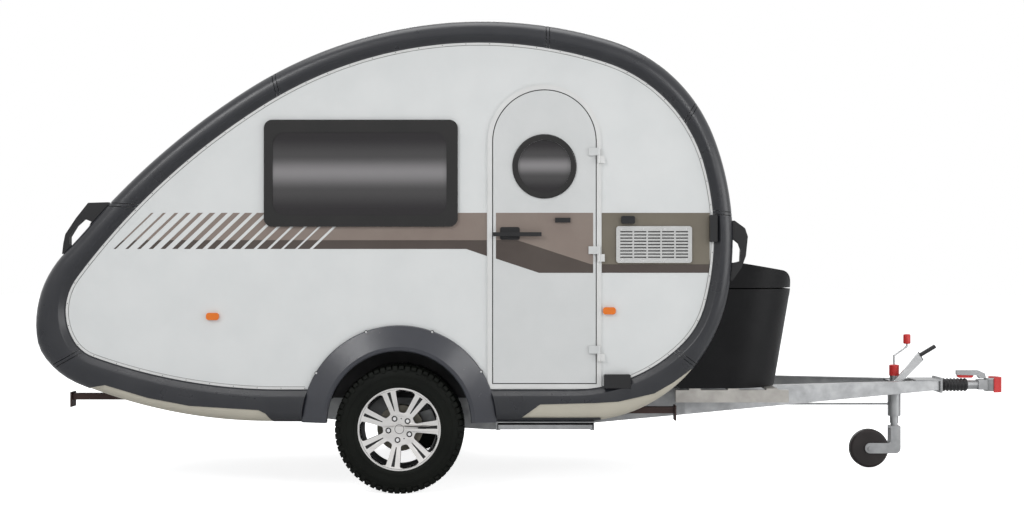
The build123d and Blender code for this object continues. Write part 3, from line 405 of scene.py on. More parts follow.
def vary_roughness(tree, shader, gloss, scale):
    """Uneven gloss."""
    span = {"From_Min": GLOSS_SPAN[0], "From_Max": GLOSS_SPAN[1], "To_Min": gloss[0], "To_Max": gloss[1]}
    spread_value(tree, object_noise(tree, scale, GLOSS_DETAIL), shader.inputs["Roughness"], **span)


def add_grain(tree, shader, scale, depth, strength=1.0):
    """Fine relief: depth in metres."""
    bump = place_node(tree, "ShaderNodeBump", Strength=strength, Distance=depth)
    tree.links.new(object_noise(tree, scale, GRAIN_DETAIL), bump.inputs["Height"])
    tree.links.new(bump.outputs["Normal"], shader.inputs["Normal"])


def start_surface(name, colours, gloss, scales, *grain):
    """A material with a drift between two colours, uneven gloss and a grain, and its shader."""
    made, tree, shader = start_material(name)
    drift = colour_drift(tree, object_noise(tree, scales[0], DRIFT_DETAIL), *colours)
    tree.links.new(drift, shader.inputs["Base Color"])
    vary_roughness(tree, shader, gloss, scales[1])
    add_grain(tree, shader, *grain)
    return made, shader


def moulded(name, first, second, gloss, grain_scale, grain_depth, coat=0.0, shine=PLASTIC_SHINE):
    """Moulded plastic or rubber."""
    made, shader = start_surface(name, (first, second), gloss, MOULDED_SCALES, grain_scale, grain_depth)
    set_inputs(shader, Specular_IOR_Level=shine, Coat_Weight=coat, Coat_Roughness=0.08)
    return made


def metal(name, first, second, gloss, grain_scale, grain_depth):
    """Bare metal."""
    grain = (grain_scale, grain_depth, METAL_GRAIN)
    made, shader = start_surface(name, (first, second), gloss, METAL_SCALES, *grain)
    set_inputs(shader, Metallic=1.0)
    return made


def place_of(tree, kind="Object"):
    """The three numbers of a point's place, or of its normal, on the piece."""
    place = place_node(tree, "ShaderNodeTexCoord")
    split = place_node(tree, "ShaderNodeSeparateXYZ")
    tree.links.new(place.outputs[kind], split.inputs["Vector"])
    return split.outputs


def work_out(tree, operation, *values):
    """One step of arithmetic in a material."""
    node = place_node(tree, "ShaderNodeMath", operation=operation)
    for index, value in enumerate(values):
        if isinstance(value, (int, float)):
            node.inputs[index].default_value = value
        else:
            tree.links.new(value, node.inputs[index])
    return node.outputs["Value"]


def two_tone(name, off, on, mask_maker, coat=0.0):
    """Two finishes on one piece, told apart by place; each is two colours, roughness and metal share."""
    made, tree, shader = start_material(name)
    mask = mask_maker(tree)
    noise = object_noise(tree, TWO_TONE_SCALE, DRIFT_DETAIL)
    mix = place_node(tree, "ShaderNodeMix", data_type="RGBA")
    tree.links.new(mask, mix.inputs[0])
    # The colours of this node are its inputs 6 and 7 and its output 2
    for socket, tone in ((6, off), (7, on)):
        tree.links.new(colour_drift(tree, noise, *tone[:2]), mix.inputs[socket])
    tree.links.new(mix.outputs[2], shader.inputs["Base Color"])
    for number, socket in ((2, "Roughness"), (3, "Metallic")):
        spread_value(tree, mask, shader.inputs[socket], To_Min=off[number], To_Max=on[number])
    add_grain(tree, shader, *TWO_TONE_GRAIN)
    set_inputs(shader, Specular_IOR_Level=PLASTIC_SHINE, Coat_Weight=coat, Coat_Roughness=0.05)
    return made


def rim_mask(tree):
    """1 on the machined face, 0 on the barrel, in the windows and in the bolt wells."""
    shares = [
        work_out(tree, "GREATER_THAN", work_out(tree, "ABSOLUTE", place_of(tree, kind)[1]), limit)
        for kind, limit in (("Normal", RIM_FACING), ("Object", RIM_REACH))
    ]
    return work_out(tree, "MULTIPLY", *shares)


def vent_shade_mask(tree):
    """1 on the grille, 0 down in its slots, which take painted shade."""
    return work_out(tree, "LESS_THAN", place_of(tree)[1], VENT_SHADE_Y)


def lamp_mask(tree):
    """1 on the rear lamps, 0 on the side ones."""
    return work_out(tree, "LESS_THAN", place_of(tree)[0], REAR_LAMP_X)


def crank_mask(tree):
    """1 on the cap ring and the knob, 0 on the rod between them."""
    height = place_of(tree)[2]
    low = work_out(tree, "LESS_THAN", height, CRANK_BARE_Z[0])
    high = work_out(tree, "GREATER_THAN", height, CRANK_BARE_Z[1])
    return work_out(tree, "MAXIMUM", low, high)


def lever_mask(tree):
    """1 on the brake lever's grip."""
    place = place_of(tree)
    ahead = work_out(tree, "MULTIPLY", place[0], math.cos(GRIP_SLOPE))
    up = work_out(tree, "MULTIPLY", place[2], math.sin(GRIP_SLOPE))
    return work_out(tree, "GREATER_THAN", work_out(tree, "ADD", ahead, up), GRIP_ALONG)


def pane_with_painted_reflection(name, middle_z, half):
    """Dark acrylic with a painted reflection of the studio: lightest across the middle."""
    made, tree, shader = start_material(name)
    ramp = place_node(tree, "ShaderNodeValToRGB")
    ramp.color_ramp.interpolation = "EASE"
    stops = ramp.color_ramp.elements
    for stop, position in zip(stops, PANE_ENDS):
        stop.position = position
        stop.color = PANE_DARK
    # These grey stops are the painted reflection of the studio across the pane
    for position, grey in PANE_REFLECTION_GREYS:
        stop = stops.new(position)
        stop.color = (*(grey * share for share in PANE_REFLECTION_TINT), 1)
    span = {"From_Min": middle_z - half, "From_Max": middle_z + half}
    spread_value(tree, place_of(tree)[2], ramp.inputs["Fac"], **span)
    tree.links.new(ramp.outputs["Color"], shader.inputs["Base Color"])
    set_inputs(shader, Roughness=0.10, Specular_IOR_Level=0.4)
    return made


# Moulded finishes: two near colours, range of roughness, grain's scale and depth, coat, shine
RED_COLOURS = ((0.480, 0.022, 0.022), (0.560, 0.034, 0.030))
MOULDED = {
    "wall_skin": ((0.660, 0.672, 0.668), (0.685, 0.695, 0.690), (0.30, 0.36), 40, 0.0002, 0.1),
    # The door's skin is the wall's made darker: painted shade on the door
    "door_skin": ((0.600, 0.610, 0.606), (0.625, 0.632, 0.628), (0.30, 0.36), 40, 0.0002, 0.1),
    "underfloor": ((0.020, 0.020, 0.021), (0.030, 0.030, 0.031), (0.6, 0.8), 300, 0.0006),
    "trim_slate": ((0.014, 0.015, 0.019), (0.018, 0.019, 0.023), (0.26, 0.34), 900, 0.0002, 0.0, 0.5),
    "flare_slate": ((0.024, 0.026, 0.034), (0.029, 0.031, 0.040), (0.22, 0.28), 900, 0.0002, 0.0, 0.6),
    "insert_beige": ((0.450, 0.420, 0.350), (0.480, 0.450, 0.375), (0.45, 0.55), 900, 0.0002),
    "black_gloss": ((0.006, 0.006, 0.006), (0.009, 0.008, 0.008), (0.12, 0.22), 500, 0.0001, 0.2),
    "black_plastic": ((0.009, 0.009, 0.010), (0.014, 0.014, 0.015), (0.40, 0.52), 1200, 0.0003),
    "box_black": ((0.0040, 0.0040, 0.0046), (0.0062, 0.0062, 0.0070), (0.32, 0.44), 900, 0.0003, 0.0, 0.15),
    "white_trim": ((0.640, 0.640, 0.630), (0.680, 0.680, 0.670), (0.35, 0.45), 600, 0.0001),
    "grey_line": ((0.230, 0.230, 0.225), (0.260, 0.260, 0.255), (0.5, 0.6), 600, 0.0001),
    "red_plastic": (*RED_COLOURS, (0.32, 0.42), 700, 0.0002),
    "steady_paint": ((0.026, 0.012, 0.010), (0.040, 0.018, 0.014), (0.45, 0.6), 400, 0.0003),
    "tyre_rubber": ((0.0032, 0.0040, 0.0030), (0.0056, 0.0066, 0.0050), (0.50, 0.65), 500, 0.0004, 0.0, 0.12),
    "jockey_rubber": ((0.012, 0.009, 0.009), (0.020, 0.015, 0.015), (0.5, 0.65), 400, 0.0004),
    "roof_acrylic": ((0.540, 0.550, 0.560), (0.600, 0.610, 0.620), (0.2, 0.3), 300, 0.0002),
    "taupe_foil": ((0.222, 0.176, 0.152), (0.240, 0.196, 0.168), (0.36, 0.44), 2400, 0.0001),
    # The front band is the taupe foil made darker: painted shade
    "taupe_front": ((0.160, 0.140, 0.108), (0.176, 0.156, 0.122), (0.36, 0.44), 2400, 0.0001),
    "dark_foil": ((0.068, 0.053, 0.046), (0.078, 0.063, 0.054), (0.36, 0.44), 2400, 0.0001),
}

# Metals: as the moulded ones, up to the grain's depth
METALS = {
    "galvanised": ((0.270, 0.275, 0.280), (0.350, 0.355, 0.360), (0.38, 0.54), 120, 0.0003),
    "bright_steel": ((0.700, 0.700, 0.700), (0.780, 0.780, 0.780), (0.22, 0.30), 200, 0.0001),
    "cradle_metal": ((0.360, 0.345, 0.325), (0.440, 0.425, 0.400), (0.40, 0.55), 300, 0.0003),
    "brake_iron": ((0.120, 0.115, 0.095), (0.200, 0.185, 0.155), (0.55, 0.7), 300, 0.0006),
}

# Two finishes on one piece: two near colours, roughness and metal share; where the mask is 0, then 1
ZINC = ((0.400, 0.405, 0.410), (0.500, 0.505, 0.510), 0.42, 1.0)
RED = (*RED_COLOURS, 0.38, 0.0)
BLACK = ((0.010, 0.010, 0.011), (0.016, 0.016, 0.017), 0.45, 0.0)
MACHINED = ((0.640, 0.625, 0.610), (0.740, 0.725, 0.710), 0.28, 1.0)
AMBER_LENS = ((0.700, 0.150, 0.012), (0.760, 0.190, 0.018), 0.18, 0.0)
RED_LENS = ((0.420, 0.010, 0.010), (0.480, 0.014, 0.012), 0.18, 0.0)
# The vent's dark grey is painted shade on the floors of its slots
VENT_SLOT_SHADE = ((0.130, 0.130, 0.128), (0.150, 0.150, 0.148), 0.6, 0.0)
VENT_PALE = ((0.500, 0.500, 0.490), (0.540, 0.540, 0.530), 0.4, 0.0)
TWO_TONES = {
    "wheel_face": (BLACK, MACHINED, rim_mask),
    "lamp_lens": (AMBER_LENS, RED_LENS, lamp_mask, 0.5),
    "vent_white": (VENT_SLOT_SHADE, VENT_PALE, vent_shade_mask),
    "crank_finish": (ZINC, RED, crank_mask),
    "lever_finish": (ZINC, BLACK, lever_mask),
}

FINISHES = {}
for maker_of_finish, finish_rows in (
    (moulded, MOULDED), (metal, METALS), (two_tone, TWO_TONES), (pane_with_painted_reflection, PANES),
):
    for finish_name, finish_row in finish_rows.items():
        FINISHES[finish_name] = maker_of_finish(finish_name, *finish_row)

# Nodes of the frame that show, by finish
NODE_FINISH = {
    "wall_skin": ("sidewall_right", "sidewall_left", "rear_panel", "front_panel", "roof_panel"),
    # The door panel takes the wall's skin made darker, as painted shade
    "door_skin": ("door_panel",),
    "underfloor": ("floor_panel", "wheel_wells"),
    "flare_slate": ("wheel_flares",),
    "black_gloss": ("window_frames", "porthole_ring"),
    "window_pane": ("window_panes",),
    "porthole_pane": ("porthole_glass",),
    "roof_acrylic": ("rooflight",),
    "white_trim": ("door_frame",),
    "black_plastic": (
        "door_handle", "wall_fittings", "rear_bumper", "grab_handles", "lid_hinges", "coupling_bellows",
    ),
    "lamp_lens": ("outside_lamps",),
    "box_black": ("front_box_tub", "front_box_lid"),
    "cradle_metal": ("box_cradle",),
    "galvanised": (
        "drawbar_beams", "chassis_rails", "axle_beam", "trailing_arms", "overrun_housing",
        "coupling_tube", "coupling_head", "coupling_handle", "jockey_clamp", "jockey_tube",
        "brake_rod", "step_housing", "step_tread", "steady_mounts",
    ),
    "red_plastic": ("coupling_nose",),
    "steady_paint": (
        "steady_front_right", "steady_front_left", "steady_rear_right", "steady_rear_left",
    ),
    "jockey_rubber": ("jockey_wheel",),
    "brake_iron": ("brake_drum_right", "brake_drum_left"),
}


def finish_nodes():
    """Gives every node that shows its material."""
    for finish, names in NODE_FINISH.items():
        for name in names:
            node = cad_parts[name]
            node.data.materials.clear()
            node.data.materials.append(FINISHES[finish])


# Piece makers
def made_object(name, maker):
    """An object of a finished mesh, which is used up."""
    bmesh.ops.recalc_face_normals(maker, faces=maker.faces)
    mesh = bpy.data.meshes.new(name)
    maker.to_mesh(mesh)
    maker.free()
    made = bpy.data.objects.new(name, mesh)
    bpy.context.scene.collection.objects.link(made)
    return made


def keep_mesh(name, maker, body, finish, smooth=None):
    """Puts a finished mesh in the scene as a piece that rides on a body; smooth is its sharpest soft edge."""
    piece = made_object(name, maker)
    if smooth:
        piece.data.shade_smooth()
        piece.data.set_sharp_from_angle(angle=math.radians(smooth))
    piece.data.materials.append(FINISHES[finish])
    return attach(piece, body)


def side_prism(maker, outline, outer_y, inner_y):
    """Closed prism seen from the side; the outline holds (x, z) in order round it."""
    outer = [maker.verts.new((x, outer_y, z)) for x, z in outline]
    inner = [maker.verts.new((x, inner_y, z)) for x, z in outline]
    count = len(outline)
    maker.faces.new(outer)
    maker.faces.new(reversed(inner))
    for index in range(count):
        after = (index + 1) % count
        maker.faces.new((outer[after], outer[index], inner[index], inner[after]))


def ribbon(maker, outer_line, inner_line, outer_y, inner_y, ring=False):
    """Closed strip, or ring, between two lines of (x, z), point by point."""
    rows = []
    for far, near in zip(outer_line, inner_line):
        corners = ((far, outer_y), (near, outer_y), (near, inner_y), (far, inner_y))
        rows.append([maker.verts.new((x, y, z)) for (x, z), y in corners])
    join_rows(maker, rows, ring)


def join_rows(maker, rows, ring=False):
    """Skins a row of closed loops; it ends in caps, or in its own start where it is a ring."""
    count = len(rows[0])
    pairs = list(zip(rows, rows[1:]))
    if ring:
        pairs.append((rows[-1], rows[0]))
    else:
        maker.faces.new(rows[0])
        maker.faces.new(reversed(rows[-1]))
    for near, far in pairs:
        for index in range(count):
            after = (index + 1) % count
            maker.faces.new((near[index], near[after], far[after], far[index]))


def round_outline(x, z, radius, sides):
    """Outline of a disc, or of a nut, seen from the side."""
    turns = [math.tau * side / sides for side in range(sides)]
    return [(x + radius * math.sin(turn), z + radius * math.cos(turn)) for turn in turns]


def foil(name, outlines, body, finish, surface_y):
    """Thin shapes on one plane of the door side."""
    maker = bmesh.new()
    for outline in outlines:
        side_prism(maker, outline, surface_y - FOIL_THICK, surface_y + FOIL_THICK)
    return keep_mesh(name, maker, body, finish)


def level_box(rear, front, low, high):
    """Outline of a level stripe."""
    return [(rear, low), (front, low), (front, high), (rear, high)]


def leaning_bar(x, thick, low, high, foot_z):
    """Outline of one slanted bar whose foot is at x on foot_z."""
    at_low = x + (low - foot_z) * BAR_LEAN
    at_high = x + (high - foot_z) * BAR_LEAN
    return [(at_low, low), (at_low + thick, low), (at_high + thick, high), (at_high, high)]


def bar_rows():
    """Foot and thickness of each slanted bar."""
    rows = []
    x = BAR_FIRST_X
    for bar in range(BARS):
        rows.append((x, BAR_THIN + (BAR_THICK - BAR_THIN) * bar / (BARS - 1)))
        x += BAR_PITCH + BAR_PITCH_GROWS * max(0, bar - BAR_EVEN + 1)
    return rows


def add_stripes():
    """Bars at the rear, the level band, and the wedge on the door."""
    pale = [leaning_bar(x, thick, BAND_SPLIT, BAND_TOP, BAND_BOTTOM) for x, thick in bar_rows()]
    dark = [leaning_bar(x, thick, BAND_BOTTOM, BAND_SPLIT, BAND_BOTTOM) for x, thick in bar_rows()]
    split_rear = (BAND_REAR_X + (BAND_SPLIT - BAND_BOTTOM) * BAR_LEAN, BAND_SPLIT)
    top_rear = (BAND_REAR_X + (BAND_TOP - BAND_BOTTOM) * BAR_LEAN, BAND_TOP)
    pale.append([split_rear, (STRIP_REAR_X, BAND_SPLIT), (STRIP_REAR_X, BAND_TOP), top_rear])
    dark.append(
        [
            (BAND_REAR_X, BAND_BOTTOM),
            (BAND_BEND_X, BAND_BOTTOM),
            (STRIP_REAR_X, BAND_BOTTOM - (STRIP_REAR_X - BAND_BEND_X) * BAND_FALL),
            (STRIP_REAR_X, BAND_SPLIT),
            split_rear,
        ]
    )
    dark.append(level_box(STRIP_FRONT_X, BAND_FRONT_X, LOW_BOTTOM, LOW_SPLIT))
    front = level_box(STRIP_FRONT_X, BAND_FRONT_X, LOW_SPLIT, BAND_TOP)
    wedge_rear = (WEDGE_TOP_X[0], BAND_SPLIT)
    wedge_front = (WEDGE_TOP_X[1], LOW_SPLIT)
    front_split = (DOOR_FRONT_X, LOW_SPLIT)
    rear_split = (DOOR_REAR_X, BAND_SPLIT)
    tops = [(DOOR_FRONT_X, BAND_TOP), (DOOR_REAR_X, BAND_TOP)]
    feet = [(DOOR_REAR_X, WEDGE_LOW_Z), (WEDGE_LOW_X, LOW_BOTTOM), (DOOR_FRONT_X, LOW_BOTTOM)]
    pale_door = [rear_split, wedge_rear, wedge_front, front_split] + tops
    dark_door = feet + [front_split, wedge_front, wedge_rear, rear_split]
    foil("stripe_wall_pale", pale, "root", "taupe_foil", WALL_Y)
    # The band in front of the door takes the taupe foil made darker, as painted shade
    foil("stripe_wall_front", [front], "root", "taupe_front", WALL_Y)
    foil("stripe_wall_dark", dark, "root", "dark_foil", WALL_Y)
    foil("stripe_door_pale", [pale_door], "door", "taupe_foil", DOOR_Y)
    foil("stripe_door_dark", [dark_door], "door", "dark_foil", DOOR_Y)


# Outlines of tangent arcs, and the bead round both walls
def arc_line(start_x, bottom_z, arcs, inset=0.0, spacing=0.03):
    """Points along an outline of tangent arcs, clockwise from its bottom's rear end, moved inwards."""
    points = []
    x, z, heading = start_x, bottom_z, math.pi
    rows = [(radius, math.radians(sweep)) for radius, sweep in arcs]
    rows.append((None, math.tau - sum(sweep for radius, sweep in rows)))
    for radius, sweep in rows:
        if radius is None:
            radius = (z - bottom_z) / (1 - math.cos(sweep))
        bend = radius if sweep > 0 else -radius
        centre_x = x + bend * math.sin(heading)
        centre_z = z - bend * math.cos(heading)
        steps = math.ceil(radius * abs(sweep) / spacing)
        reach = bend - inset
        for step in range(steps):
            turn = heading - sweep * step / steps
            points.append((centre_x - reach * math.sin(turn), centre_z + reach * math.cos(turn)))
        heading -= sweep
        x = centre_x - bend * math.sin(heading)
        z = centre_z + bend * math.cos(heading)
    steps = math.ceil((x - start_x) / spacing)
    points.extend((x + (start_x - x) * step / steps, bottom_z + inset) for step in range(steps + 1))
    return points


def wall_line(inset):
    """Points along the wall's outline, moved inwards."""
    return arc_line(WALL_START_X, WALL_BOTTOM_Z, WALL_ARCS, inset)


def bead_shows(point):
    """False behind the flare and under the door's frame."""
    x, z = point
    behind_flare = math.hypot(x - ARCH_X, z - ARCH_Z) < ARCH_R
    under_door = DOOR_FRAME_X[0] < x < DOOR_FRAME_X[1] and z < DOOR_FRAME_LOW
    return not (behind_flare or under_door)


def shown_runs(*lines):
    """Cuts lines of the same count where the bead doesn't show, and gives the runs that are left."""
    runs = []
    run = []
    for points in zip(*lines):
        if bead_shows(points[0]):
            run.append(points)
        elif run:
            runs.append(run)
            run = []
    runs.append(run)
    return [list(zip(*each)) for each in runs if len(each) > 1]


def add_bead():
    """White bead, a thin grey line beside it, and the heads of its screws, on both walls."""
    edges = [wall_line(inset) for inset in (BEAD_INSET, BEAD_WIDE, BEAD_WIDE + BEAD_LINE)]
    middle = wall_line(BEAD_WIDE / 2)
    for side, sign in SIDES.items():
        bead = bmesh.new()
        line = bmesh.new()
        screws = bmesh.new()
        wall_y = sign * abs(WALL_Y)
        bead_y = wall_y + sign * BEAD_PROUD
        for outer, inner, edge in shown_runs(*edges):
            ribbon(bead, outer, inner, bead_y, wall_y - sign * BEAD_PROUD)
            ribbon(line, inner, edge, wall_y + sign * FOIL_THICK, wall_y - sign * FOIL_THICK)
        gone = 0.0
        for before, point in zip(middle, middle[1:]):
            gone += math.dist(before, point)
            if gone >= BEAD_SCREW_PITCH and bead_shows(point):
                head = round_outline(*point, BEAD_SCREW_R, 8)
                side_prism(screws, head, bead_y + sign * FOIL_THICK, bead_y - sign * FOIL_THICK)
                gone = 0.0
        keep_mesh("wall_bead_" + side, bead, "root", "white_trim", SOFT)
        keep_mesh("wall_grey_line_" + side, line, "root", "grey_line")
        keep_mesh("bead_screws_" + side, screws, "root", "black_plastic")


def door_line(margin):
    """The door's edge moved outwards, up one side, over its half-round head and down the other."""
    reach = DOOR_HALF + margin
    points = [(DOOR_X - reach, DOOR_LOW - margin)]
    for step in range(HEAD_STEPS + 1):
        turn = math.pi * step / HEAD_STEPS
        points.append((DOOR_X - reach * math.cos(turn), DOOR_HEAD + reach * math.sin(turn)))
    points.append((DOOR_X + reach, DOOR_LOW - margin))
    return points


def add_door_fittings():
    """Seal in the gap, the catch that holds the door open, and the lock in its handle."""
    seal = bmesh.new()
    ribbon(seal, door_line(SEAL_OUT), door_line(SEAL_IN), WALL_Y - SEAL_PROUD, WALL_Y + SEAL_BACK, ring=True)
    keep_mesh("door_seal", seal, "root", "black_plastic")
    catch = bmesh.new()
    side_prism(catch, level_box(*CATCH_X, *CATCH_Z), DOOR_Y - CATCH_PROUD, DOOR_Y + SUNK)
    keep_mesh("door_catch", catch, "door", "black_plastic")
    lock = bmesh.new()
    face = round_outline(*LOCK_PLACE, LOCK_R, 20)
    side_prism(lock, face, HANDLE_PLATE_Y - LOCK_PROUD, HANDLE_PLATE_Y + SUNK)
    keep_mesh("door_lock", lock, "door", "bright_steel", SOFT)


# Tyres
def axle_point(maker, sign, radius, depth, turn):
    """A point of a wheel, by radius, depth from the outer face and turn from upwards."""
    return maker.verts.new(
        (WHEEL_X + radius * math.sin(turn), sign * (TYRE_OUT - depth), WHEEL_Z + radius * math.cos(turn))
    )


def lug(maker, sign, profile, first, last, skew=0.0):
    """One block of tread between two turns; skew turns it more the deeper it lies."""
    rows = []
    for step in range(LUG_STEPS + 1):
        turn = first + (last - first) * step / LUG_STEPS
        places = [(radius, depth, turn + skew * depth) for radius, depth in profile]
        rows.append([axle_point(maker, sign, *place) for place in places])
    join_rows(maker, rows)


def add_tyre(side, sign):
    """All-terrain tyre: ringed sidewalls, long and short shoulder lugs, and two rows of blocks."""
    maker = bmesh.new()
    far_half = [(radius, TYRE_WIDE - depth) for radius, depth in reversed(CARCASS[:-1])]
    rows = []
    for step in range(CARCASS_STEPS):
        turn = math.tau * step / CARCASS_STEPS
        rows.append([axle_point(maker, sign, radius, depth, turn) for radius, depth in CARCASS + far_half])
    join_rows(maker, rows, ring=True)
    pitch = math.tau / PITCHES
    for number in range(PITCHES):
        start = number * pitch
        outer = SHOULDER_LUG if number % 2 else SHORT_LUG
        inner = [(radius, TYRE_WIDE - depth) for radius, depth in outer]
        lug(maker, sign, outer, start, start + LUG_FILL * pitch)
        lug(maker, sign, inner, start + pitch / 2, start + pitch / 2 + LUG_FILL * pitch)
        for (near, far), shift in CENTRE_ROWS:
            block = [(CENTRE_R[0], near), (CENTRE_R[1], near), (CENTRE_R[1], far), (CENTRE_R[0], far)]
            first = start + shift * pitch - CENTRE_SKEW * (near + far) / 2
            lug(maker, sign, block, first, first + CENTRE_FILL * pitch, CENTRE_SKEW)
    tyre = keep_mesh("tread_" + side, maker, "wheel_" + side, "tyre_rubber", SOFT)
    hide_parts("tyre_" + side)


# Rims
def wheel_place(radius, turn):
    """Place of a point on a wheel as it is seen from the side."""
    return (WHEEL_X + radius * math.sin(turn), WHEEL_Z + radius * math.cos(turn))


def bolt_turns():
    """Turn of each wheel bolt from upwards."""
    return [math.radians(BOLT_FIRST + bolt * 360 / BOLTS) for bolt in range(BOLTS)]


def add_wheel_fixings(side, sign):
    """Bolts in their wells, five black discs of painted shade for blind holes between them, and a plain line
    round the cap.
    """
    bolts = bmesh.new()
    line_and_hole_shade = bmesh.new()
    foot = HUB_FACE - BOLT_WELL_DEEP
    for turn in bolt_turns():
        place = wheel_place(BOLT_CIRCLE_R, turn)
        side_prism(bolts, round_outline(*place, BOLT_R, 6), sign * (foot + BOLT_HEAD), sign * (foot - SUNK))
        dome = [sign * (foot + level) for level in reversed(BOLT_DOME)]
        side_prism(bolts, round_outline(*place, BOLT_DOME_R, 16), *dome)
        # A thin black disc on the hub's face: painted shade standing for a blind hole
        hole_shade = round_outline(*wheel_place(HOLE_SHADE_CIRCLE_R, turn + math.pi / BOLTS), HOLE_SHADE_R, 12)
        side_prism(line_and_hole_shade, hole_shade, sign * (HUB_FACE + FOIL_THICK), sign * (HUB_FACE - FOIL_THICK))
    near, far = [round_outline(WHEEL_X, WHEEL_Z, radius, HUB_SIDES) for radius in CAP_LINE_R]
    ribbon(line_and_hole_shade, far, near, sign * (CAP_FACE + FOIL_THICK), sign * (CAP_FACE - FOIL_THICK), ring=True)
    keep_mesh("wheel_bolts_" + side, bolts, "wheel_" + side, "bright_steel")
    keep_mesh("wheel_line_and_hole_shade_" + side, line_and_hole_shade, "wheel_" + side, "black_plastic")


def rounded(points, radii):
    """Outline whose corners are rounded, each by its own radius."""
    line = []
    count = len(points)
    for index, radius in enumerate(radii):
        here = Vector(points[index])
        back = (Vector(points[index - 1]) - here).normalized()
        ahead = (Vector(points[(index + 1) % count]) - here).normalized()
        half = back.angle(ahead) / 2
        run = radius / math.tan(half)
        first = here + back * run
        last = here + ahead * run
        centre = here + (back + ahead).normalized() * radius / math.sin(half)
        start = first - centre
        sweep = start.angle_signed(last - centre)
        for step in range(CORNER_STEPS + 1):
            spoke = start.copy()
            spoke.rotate(Matrix.Rotation(-sweep * step / CORNER_STEPS, 2))
            line.append(tuple(centre + spoke))
    return line


def turned(points, centre, turn):
    """Outline turned clockwise about the middle, as the door side is seen, then moved to a centre."""
    sine, cosine = math.sin(turn), math.cos(turn)
    return [(centre[0] + x * cosine + z * sine, centre[1] - x * sine + z * cosine) for x, z in points]


def add_plate(maker, outline, holes, outer_y, inner_y, dish=None):
    """Plate with holes, seen from the side; dish gives how far a point sinks from the outer face."""
    curve = bpy.data.curves.new("plate", "CURVE")
    curve.dimensions = "2D"
    curve.fill_mode = "BOTH"
    curve.extrude = abs(outer_y - inner_y) / 2
    for line in [outline] + holes:
        spline = curve.splines.new("POLY")
        spline.points.add(len(line) - 1)
        spline.use_cyclic_u = True
        for point, (x, z) in zip(spline.points, line):
            point.co = (x, z, 0, 1)
    holder = bpy.data.objects.new("plate", curve)
    mesh = bpy.data.meshes.new_from_object(holder)
    inwards = 1 if inner_y > outer_y else -1
    for vertex in mesh.vertices:
        x, z, lift = vertex.co
        sink = dish(x, z) if dish else 0.0
        vertex.co = (x, (outer_y + inner_y) / 2 + lift + inwards * sink, z)
    maker.from_mesh(mesh)
    bpy.data.objects.remove(holder)
    bpy.data.curves.remove(curve)
    bpy.data.meshes.remove(mesh)


def rim_dish(x, z):
    """How far the wheel's face lies behind its edge."""
    radius = math.hypot(x - WHEEL_X, z - WHEEL_Z)
    share = (DISH_R[1] - radius) / (DISH_R[1] - DISH_R[0])
    return DISH * min(max(share, 0.0), 1.0)


def rim_window():
    """One window between two spokes, pointing up, with its outer edge round the axle."""
    half = WINDOW_RIM_HALF
    corner_z = math.sqrt(WINDOW_RIM_R**2 - half**2)
    corners = [(-WINDOW_HUB[0], WINDOW_HUB[1]), WINDOW_HUB, (half, corner_z), (-half, corner_z)]
    radii = (WINDOW_HUB_ROUND, WINDOW_HUB_ROUND, WINDOW_RIM_ROUND, WINDOW_RIM_ROUND)
    line = rounded(corners, radii)
    spread = math.asin((half - 2 * WINDOW_RIM_ROUND) / WINDOW_RIM_R)
    turns = [spread * (1 - 2 * step / WINDOW_STEPS) for step in range(WINDOW_STEPS + 1)]
    arc = [(WINDOW_RIM_R * math.sin(turn), WINDOW_RIM_R * math.cos(turn)) for turn in turns]
    third_corner_done = 3 * (CORNER_STEPS + 1)
    return line[:third_corner_done] + arc + line[third_corner_done:]


def add_rim(side, sign):
    """Rim: barrel with its flanges, dished face with seven windows and pockets, and the hub's wells."""
    maker = bmesh.new()
    floors = bmesh.new()
    barrel = RIM_SECTION + [(radius, TYRE_WIDE - depth) for radius, depth in reversed(RIM_SECTION)]
    rows = []
    for step in range(RIM_STEPS):
        turn = math.tau * step / RIM_STEPS
        rows.append([axle_point(maker, sign, radius, depth, turn) for radius, depth in barrel])
    join_rows(maker, rows, ring=True)
    centre = (WHEEL_X, WHEEL_Z)
    window = rim_window()
    back_y = sign * (FACE_OUT - FACE_THICK)
    holes = []
    for spoke in range(SPOKES):
        turn = math.radians(SPOKE_FIRST + spoke * 360 / SPOKES)
        holes.append(turned(window, centre, turn + math.pi / SPOKES))
        pocket = turned(POCKET, centre, turn)
        holes.append(pocket)
        add_plate(floors, pocket, [], sign * (FACE_OUT - POCKET_DEEP), back_y, rim_dish)
    for turn in bolt_turns():
        holes.append(round_outline(*wheel_place(BOLT_CIRCLE_R, turn), BOLT_WELL_R, 20))
    edge = round_outline(*centre, DISH_R[1], RIM_STEPS)
    add_plate(maker, edge, holes, sign * FACE_OUT, back_y, rim_dish)
    hub = round_outline(*centre, DISH_R[0], HUB_SIDES)
    side_prism(maker, hub, sign * (HUB_FACE - BOLT_WELL_DEEP), sign * HUB_BACK)
    side_prism(maker, round_outline(*centre, CAP_R, 40), sign * CAP_FACE, sign * (HUB_FACE - SUNK))
    bmesh.ops.remove_doubles(maker, verts=maker.verts, dist=1e-6)
    rim = keep_mesh("rim_" + side + "_face", maker, "wheel_" + side, "wheel_face")
    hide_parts("rim_" + side)
    keep_mesh("rim_" + side + "_pockets", floors, "wheel_" + side, "black_plastic")


# Trims
def reach_to(line, foot, way):
    """Distance from a foot, along a way, to the nearest crossing of a closed line of points."""
    crossings = []
    for (x0, z0), (x1, z1) in zip(line, line[1:]):
        run_x, run_z = x1 - x0, z1 - z0
        across = way[0] * run_z - way[1] * run_x
        if across == 0:
            continue
        gone = ((x0 - foot[0]) * run_z - (z0 - foot[1]) * run_x) / across
        share = ((x0 - foot[0]) * way[1] - (z0 - foot[1]) * way[0]) / across
        if 0 <= share <= 1 and gone > 0:
            crossings.append(gone)
    return min(crossings)


